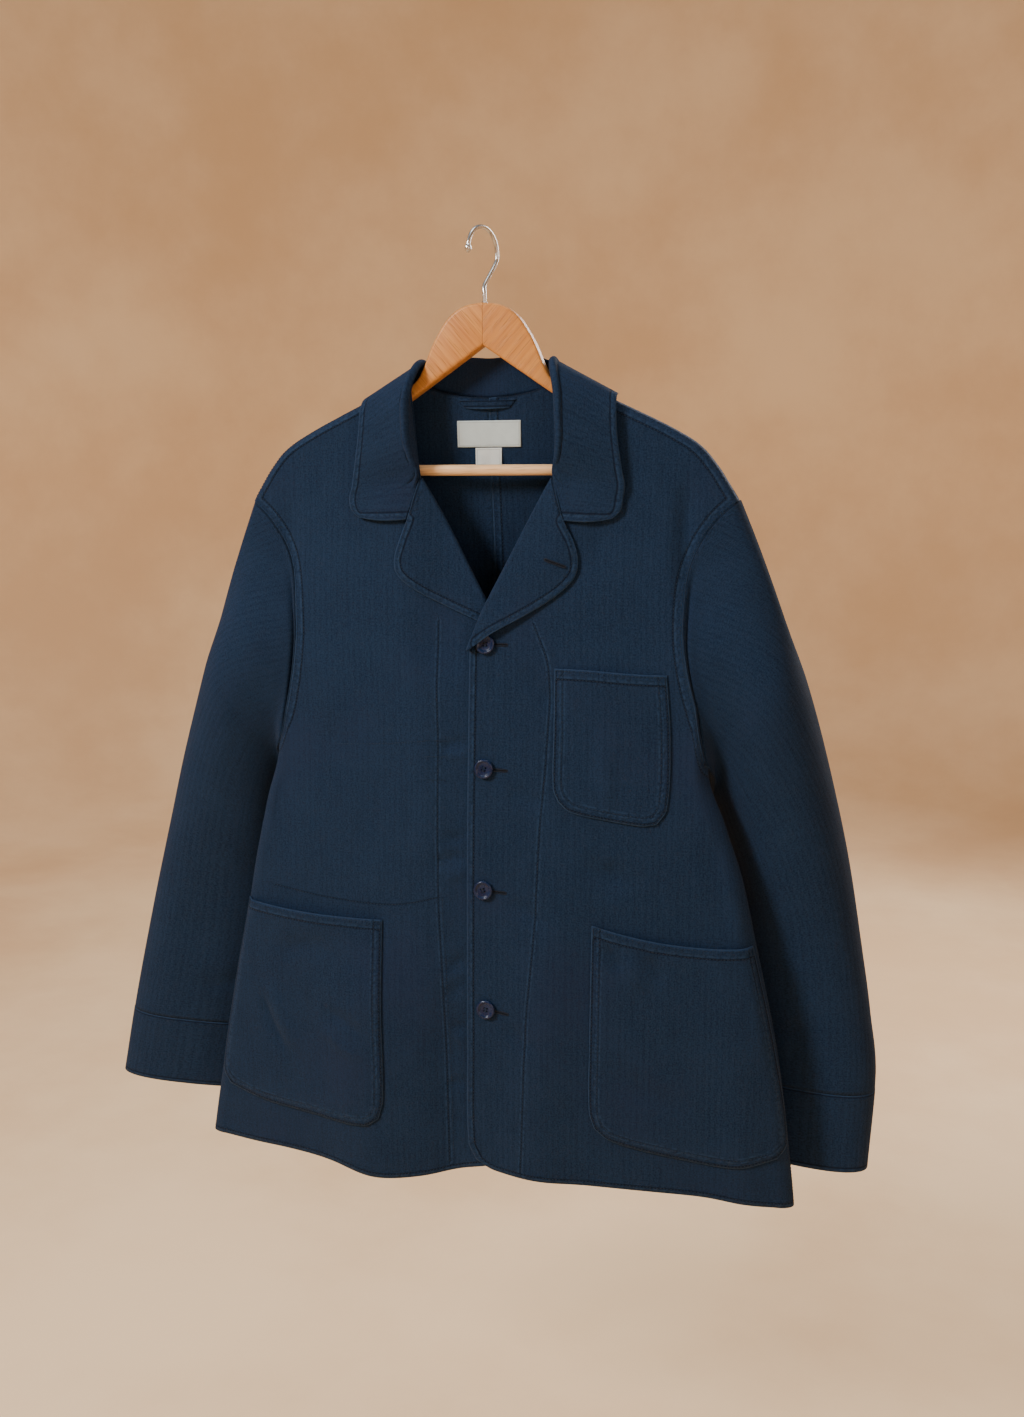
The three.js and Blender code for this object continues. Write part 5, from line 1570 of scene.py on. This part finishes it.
CORNERS = np.array([[0, 0], [1, 0], [1, 1], [0, 1], [0, 0]], float)
SQUARE = [CORNERS[i:i + 2] for i in range(4)]
loop_rims = [(loop_place(side[:, 0], side[:, 1]), 1.6) for side in (SQUARE[0], SQUARE[2])]
loop = shell("cloth_hanging_loop", np.linspace(0, 1, 41), np.linspace(0, 1, 9), loop_point, loop_place,
             thick=1.2, marks=marked(loop_rims))
finished(loop, CLOTH_FINISH, "cloth", "hanging_loop")
cloth_sheet(loop, (56, 10), ["cloth_back_left", "cloth_back_right"], held="stretched", area=448)
for label, (box, hang, colour) in LABELS.items():
    def label_place(u, v, box=box):
        return np.stack([mix(box["x0"], box["x1"], u), mix(box["z0"], box["z1"], v)], -1)

    def label_point(u, v, hang=hang, label_place=label_place):
        x, z = np.moveaxis(label_place(u, v), -1, 0)
        ripple = 0.25 * np.sin(u * 9) * (1 - v)
        return inside_point(x, z, hang * (1 - v) + ripple)

    rims = [(label_place(side[:, 0], side[:, 1]), 0) for side in SQUARE]
    tape = shell(f"tape_{label}", np.linspace(0, 1, 41), np.linspace(0, 1, 17), label_point, label_place,
                 thick=0.6, marks=marked(rims))
    finished(tape, label_finish(label.replace("_", " "), colour), "label", label)
    cloth_sheet(tape, (box["x1"] - box["x0"], box["z1"] - box["z0"]), ["cloth_back_left", "cloth_back_right"],
                held="stretched")

# Buttons, their thread and the buttonholes
BUTTON_RADIUS = 9.2
BUTTON_THICK = 3.4
BUTTON_DISH = 2.1
BUTTON_HOLE = {"radius": 0.95, "out": 1.9}
# Where each button sits, as (across, z), and how high its buttonhole ends
BUTTONS = [(0.5, -371, -371), (1.3, -486.2, -487), (1.7, -601, -602.5), (4.4, -717.3, -720.5)]
BUTTON_RIM = line([
    (BUTTON_RADIUS * 0.8, 0), (BUTTON_RADIUS - 0.6, 0.4), (BUTTON_RADIUS, 1.5), (BUTTON_RADIUS - 0.15, 2.6),
    (BUTTON_RADIUS - 0.9, 3.3), (BUTTON_RADIUS - 1.7, BUTTON_THICK), (BUTTON_RADIUS - 2.5, 3.0),
    (BUTTON_RADIUS - 3.1, 2.4), (BUTTON_RADIUS - 3.7, BUTTON_DISH),
])(np.linspace(0, 1, 30))
BUTTON_PROFILE = [(0.02, 0), *BUTTON_RIM, (0.02, BUTTON_DISH)]
BUTTON_FINISH = button_finish()


def button_mesh(name):
    """One button lying in the XY plane, its back at z 0, with four holes through it."""
    bm = bmesh.new()
    chain = [bm.verts.new((x * MM, 0, z * MM)) for x, z in BUTTON_PROFILE]
    edges = [bm.edges.new(pair) for pair in zip(chain, chain[1:])]
    bmesh.ops.spin(
        bm, geom=chain + edges, cent=(0, 0, 0), axis=(0, 0, 1), angle=2 * math.pi, steps=56, use_merge=True
    )
    bmesh.ops.remove_doubles(bm, verts=bm.verts[:], dist=4e-5)
    bmesh.ops.recalc_face_normals(bm, faces=bm.faces[:])
    body = placed(name, mesh_of(name, bm))
    bm = bmesh.new()
    for i in range(4):
        angle = math.pi / 4 + i * math.pi / 2
        way = Vector((math.cos(angle), math.sin(angle), 0)) * BUTTON_HOLE["out"] * MM
        radius = BUTTON_HOLE["radius"] * MM
        bmesh.ops.create_cone(bm, cap_ends=True, segments=16, radius1=radius, radius2=radius, depth=0.02,
                              matrix=Matrix.Translation(way))
    drill = placed("drill", mesh_of("drill", bm))
    cut = body.modifiers.new("holes", "BOOLEAN")
    cut.object, cut.operation, cut.solver = drill, "DIFFERENCE", "EXACT"
    mesh = bpy.data.meshes.new_from_object(body.evaluated_get(bpy.context.evaluated_depsgraph_get()))
    bpy.data.objects.remove(body)
    bpy.data.objects.remove(drill)
    return mesh


def frame_at(across, z, lift):
    """The place and axes on the left front: along the cloth, up it, and out of it."""
    foot = lifted(front_point, 1, np.float64(across), np.float64(z), lift)
    out = unit(foot - front_point(1, np.float64(across), np.float64(z)))
    along = np.array([1.0, 0, 0])
    along = unit(along - out * (along @ out))
    return foot, along, np.cross(out, along), out


round_button = button_mesh("round button")
sewing = thread("stitching_buttons")
for i, (across, z, hole_z) in enumerate(BUTTONS):
    foot, along, up, out = frame_at(across, z, LIE_GAP + 0.1)
    turn = Matrix((along, up, out)).transposed().to_4x4()
    spin = Matrix.Rotation(math.radians((8, -14, 20, -5)[i]), 4, "Z")
    mesh = round_button.copy()
    mesh.transform(Matrix.Translation(Vector(foot) * MM) @ turn @ spin)
    mesh.shade_smooth()
    mesh.set_sharp_from_angle(angle=math.radians(38))
    mesh.name = f"button_{i + 1}_round"
    finished(placed(f"round_button_{i + 1}", mesh), BUTTON_FINISH, "button", f"button_{i + 1}")
    axes = np.array((turn @ spin).to_3x3()).T
    reach = BUTTON_HOLE["out"] / math.sqrt(2)
    for strand in (-0.35, 0, 0.35):
        for way in (-1, 1):
            ends = [foot + axes[0] * x + axes[1] * (way * reach + strand) + axes[2] * (BUTTON_DISH + 0.25)
                    for x in (-reach - 0.5, reach + 0.5)]
            sewing.grains(ends[0][None], ends[1][None], out[None], (0, 0.42, 0.7))

HOLE_LONG = 25
HOLE_WIDE = 3.6


def buttonhole(name, start, end, skin):
    """A worked hole from one place to another on a skin(across, z)."""
    start, end = np.array(start, float), np.array(end, float)
    way = unit(end - start)
    side_way = np.array([-way[1], way[0]])
    long = float(np.linalg.norm(end - start))

    def place(u, v):
        return np.stack([(u - 0.5) * long, (v - 0.5) * HOLE_WIDE * (1 - np.abs(2 * u - 1) ** 10) ** 0.5], -1)

    def point(u, v):
        x, y = np.moveaxis(place(u, v), -1, 0)
        at = mix(start, end, 0.5) + x[:, None] * way + y[:, None] * side_way
        share = np.clip(np.abs(y) / (HOLE_WIDE / 2), 0, 1)
        swell = np.sin(math.pi * share) ** 0.7 * 0.65 * (1 - np.abs(2 * u - 1) ** 10)
        return skin(at[:, 0], at[:, 1], swell + 0.12)

    marks = {"facing": lambda flat: long / 2 - np.abs(flat[:, 0])}
    piece = shell(name, np.linspace(0, 1, 49), np.linspace(0, 1, 17), point, place, thick=0, marks=marks)
    return finished(piece, HOLE_FINISH, "cloth")


def front_skin(across, z, lift):
    return lifted(front_point, 1, across, z, lift)


for i, (across, z, hole_z) in enumerate(BUTTONS):
    buttonhole(f"buttonhole_{i + 1}", (across - 2, z), (across - 2 + HOLE_LONG, hole_z), front_skin)


def lapel_skin(across, z, lift):
    return lifted(front_point, 1, across, z, ROLL_RADIUS - CLOTH / 2 + LAPEL_BELLY * 0.75 + lift)


buttonhole("buttonhole_lapel", (57.5, -293), (79, -300), lapel_skin)

# Hanger
HANGER_CENTRE_X = 1.5
HANGER_THICK = 14
HANGER_EDGE = 2.6
HANGER_TOP = -64
HANGER_VEE = -102
ARM_END = 190
BAR_Z = -213
BAR_RADIUS = 5
BAR_HALF = 178
BAR_IN_ARM = 5
UPPER_EDGE = [
    (0, -64), (18, -67), (32, -76), (43, -91), (50.5, -105), (56, -118), (63.5, -131), (78, -142),
    (115, -160), (184, -193), (ARM_END, -200),
]
LOWER_EDGE = [(ARM_END, -216), (186, -222), (176, -220), (115, -178), (60, -142), (0.15, HANGER_VEE)]
WIRE_RADIUS = 1.9
HOOK_RADIUS = 21


def arm(side, word):
    upper = line(UPPER_EDGE)(np.linspace(0, 1, 56))
    upper[0, 0] = 0.15
    upper[:, 0] = np.maximum(upper[:, 0], 0.15)
    points = np.concatenate([upper, np.array(LOWER_EDGE, float)])
    bm = bmesh.new()
    half = HANGER_THICK / 2
    ring = [bm.verts.new(((HANGER_CENTRE_X + side * x) * MM, -half * MM, z * MM)) for x, z in points]
    face = bm.faces.new(ring)
    grown = bmesh.ops.extrude_face_region(bm, geom=[face])
    moved = [v for v in grown["geom"] if isinstance(v, bmesh.types.BMVert)]
    bmesh.ops.translate(bm, verts=moved, vec=(0, HANGER_THICK * MM, 0))
    rounded = [
        e for e in bm.edges
        if abs(e.verts[0].co.y - e.verts[1].co.y) < 1e-6
        and max(abs(v.co.x / MM - HANGER_CENTRE_X) for v in e.verts) > 1
    ]
    bmesh.ops.bevel(
        bm, geom=rounded, offset=HANGER_EDGE * MM, affect="EDGES", segments=4, profile=0.5, material=-1
    )
    bmesh.ops.recalc_face_normals(bm, faces=bm.faces[:])
    mesh = mesh_of(f"wooden_arm_{word}", bm)
    mesh.shade_smooth()
    mesh.set_sharp_from_angle(angle=math.radians(40))
    piece = placed(f"wooden_arm_{word}", mesh)
    material = wood_finish(f"varnished wood {word}", side * 48, (0.66, 0.29, 0.070), (0.42, 0.135, 0.028))
    return finished(piece, material, "wood", f"hanger_arm_{word}")


for side, word in SIDES:
    arm(side, word)

bm = bmesh.new()
along_bar = Matrix.Translation((HANGER_CENTRE_X * MM, 0, BAR_Z * MM)) @ Matrix.Rotation(math.pi / 2, 4, "Y")
bmesh.ops.create_cone(
    bm, cap_ends=True, segments=32, radius1=BAR_RADIUS * MM, radius2=BAR_RADIUS * MM,
    depth=2 * (BAR_HALF + BAR_IN_ARM) * MM, matrix=along_bar,
)
mesh = mesh_of("wooden_bar", bm)
mesh.shade_smooth()
mesh.set_sharp_from_angle(angle=math.radians(40))
bar = placed("wooden_bar", mesh)
bar_finish = wood_finish("pale turned wood", 0, (0.92, 0.62, 0.34), (0.74, 0.42, 0.19), 0.3, 0.1)
finished(bar, bar_finish, "bar_wood", "hanger_bar")

HOOK_HEADING = math.radians(-111)


def hook_path():
    way = np.array([math.cos(HOOK_HEADING), math.sin(HOOK_HEADING), 0])
    up = np.array([0, 0, 1.0])
    middle = WIRE_RADIUS - HOOK_RADIUS
    points = [np.array([HANGER_CENTRE_X, 0, z]) for z in (HANGER_TOP - 22, HANGER_TOP, -55)]
    points += [way * -2 + up * -49, way * -9 + up * -40]
    for i in range(13):
        angle = math.radians(mix(-18, 180, i / 12))
        points.append(way * (-HOOK_RADIUS * math.cos(angle)) + up * (middle + HOOK_RADIUS * math.sin(angle)))
    return line(points)(np.linspace(0, 1, 140))


path = hook_path()
curve = bpy.data.curves.new("wire_hook", "CURVE")
curve.dimensions = "3D"
curve.bevel_depth, curve.bevel_resolution, curve.use_fill_caps = WIRE_RADIUS * MM, 5, True
spline = curve.splines.new("POLY")
spline.points.add(len(path) - 1)
for spot, (x, y, z) in zip(spline.points, path * MM):
    spot.co = (x, y, z, 1)
wire = placed("wire", curve)
mesh = bpy.data.meshes.new_from_object(wire.evaluated_get(bpy.context.evaluated_depsgraph_get()))
bpy.data.objects.remove(wire)
bm = bmesh.new()
bm.from_mesh(mesh)
tip = Matrix.Translation(Vector(path[-1]) * MM) @ Matrix.Diagonal((1, 1, 1.35, 1))
bmesh.ops.create_uvsphere(bm, u_segments=24, v_segments=16, radius=3 * MM, matrix=tip)
collet = Matrix.Translation((HANGER_CENTRE_X * MM, 0, (HANGER_TOP - 0.2) * MM))
bmesh.ops.create_cone(
    bm, cap_ends=True, segments=32, radius1=3.4 * MM, radius2=2.6 * MM, depth=2.0 * MM, matrix=collet
)
bm.to_mesh(mesh)
bm.free()
mesh.shade_smooth()
finished(placed("wire_hook", mesh), steel_finish(), "hook_steel", "hanger_hook")

# Stitches made; the noted sheets are read over, and nothing is done with them
made = {name: sewing.made(THREAD) for name, sewing in threads.items()}
for piece, flat, rests_on, held, area, stitched in sheets:
    wide, long = (size * MM for size in flat)
    None if area is None else area * MM**2
    [made[name] for name in stitched]
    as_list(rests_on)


# Floor and light
FLOOR_Z = -1.35
ROOM = 4.4
COVE = 1.2


def studio():
    """A round floor that curves up into a wall all the way round."""
    cove = [math.radians(angle) for angle in range(0, 91, 6)]
    profile = [(0.0, FLOOR_Z), (1.5, FLOOR_Z)]
    profile += [(ROOM - COVE * (1 - math.sin(a)), FLOOR_Z + COVE * (1 - math.cos(a))) for a in cove]
    profile += [(ROOM, 3.4)]
    bm = bmesh.new()
    chain = [bm.verts.new((x, 0, z)) for x, z in profile]
    edges = [bm.edges.new(pair) for pair in zip(chain, chain[1:])]
    bmesh.ops.spin(
        bm, geom=chain + edges, cent=(0, 0, 0), axis=(0, 0, 1), angle=2 * math.pi, steps=72, use_merge=True
    )
    bmesh.ops.remove_doubles(bm, verts=bm.verts[:], dist=1e-5)
    bmesh.ops.recalc_face_normals(bm, faces=bm.faces[:])
    mesh = mesh_of("floor", bm)
    mesh.shade_smooth()
    floor = placed("floor", mesh)
    f = Finish("pale studio floor", Specular_IOR_Level=0.1)
    cloud = f.noise(f.node("ShaderNodeTexCoord", output=3), 1.1, 7.0, 0.62).smooth(0.3, 0.7)
    floor.data.materials.append(f.end(f.tinted(cloud, (0.79, 0.54, 0.315), (0.94, 0.71, 0.45)), 0.9))


def lamp(name, place, aim, size, power, colour=(1, 1, 1)):
    light = bpy.data.lights.new(name, "AREA")
    light.shape, light.size, light.energy, light.color = "DISK", size, power, colour
    lit = placed(name, light)
    lit.location = place
    lit.rotation_euler = (Vector(aim) - Vector(place)).to_track_quat("-Z", "Y").to_euler()
    lit.visible_camera = False


studio()
lamp("key light", (-1.7, -1.8, 1.1), (0, 0, -0.45), 0.8, 78)
lamp("fill light", (1.9, -2.0, 0.2), (0, 0, -0.5), 1.6, 12)
lamp("top light", (0.1, -0.1, 2.2), (0, 0.3, -0.4), 1.4, 18)
lamp("back light", (0.9, 2.3, 0.7), (0, 0, -0.5), 1.6, 60)
world = bpy.data.worlds.new("studio")
world.use_nodes = True
world.node_tree.nodes["Background"].inputs["Color"].default_value = (0.95, 0.97, 1.0, 1)
world.node_tree.nodes["Background"].inputs["Strength"].default_value = 0.29
bpy.context.scene.world = world
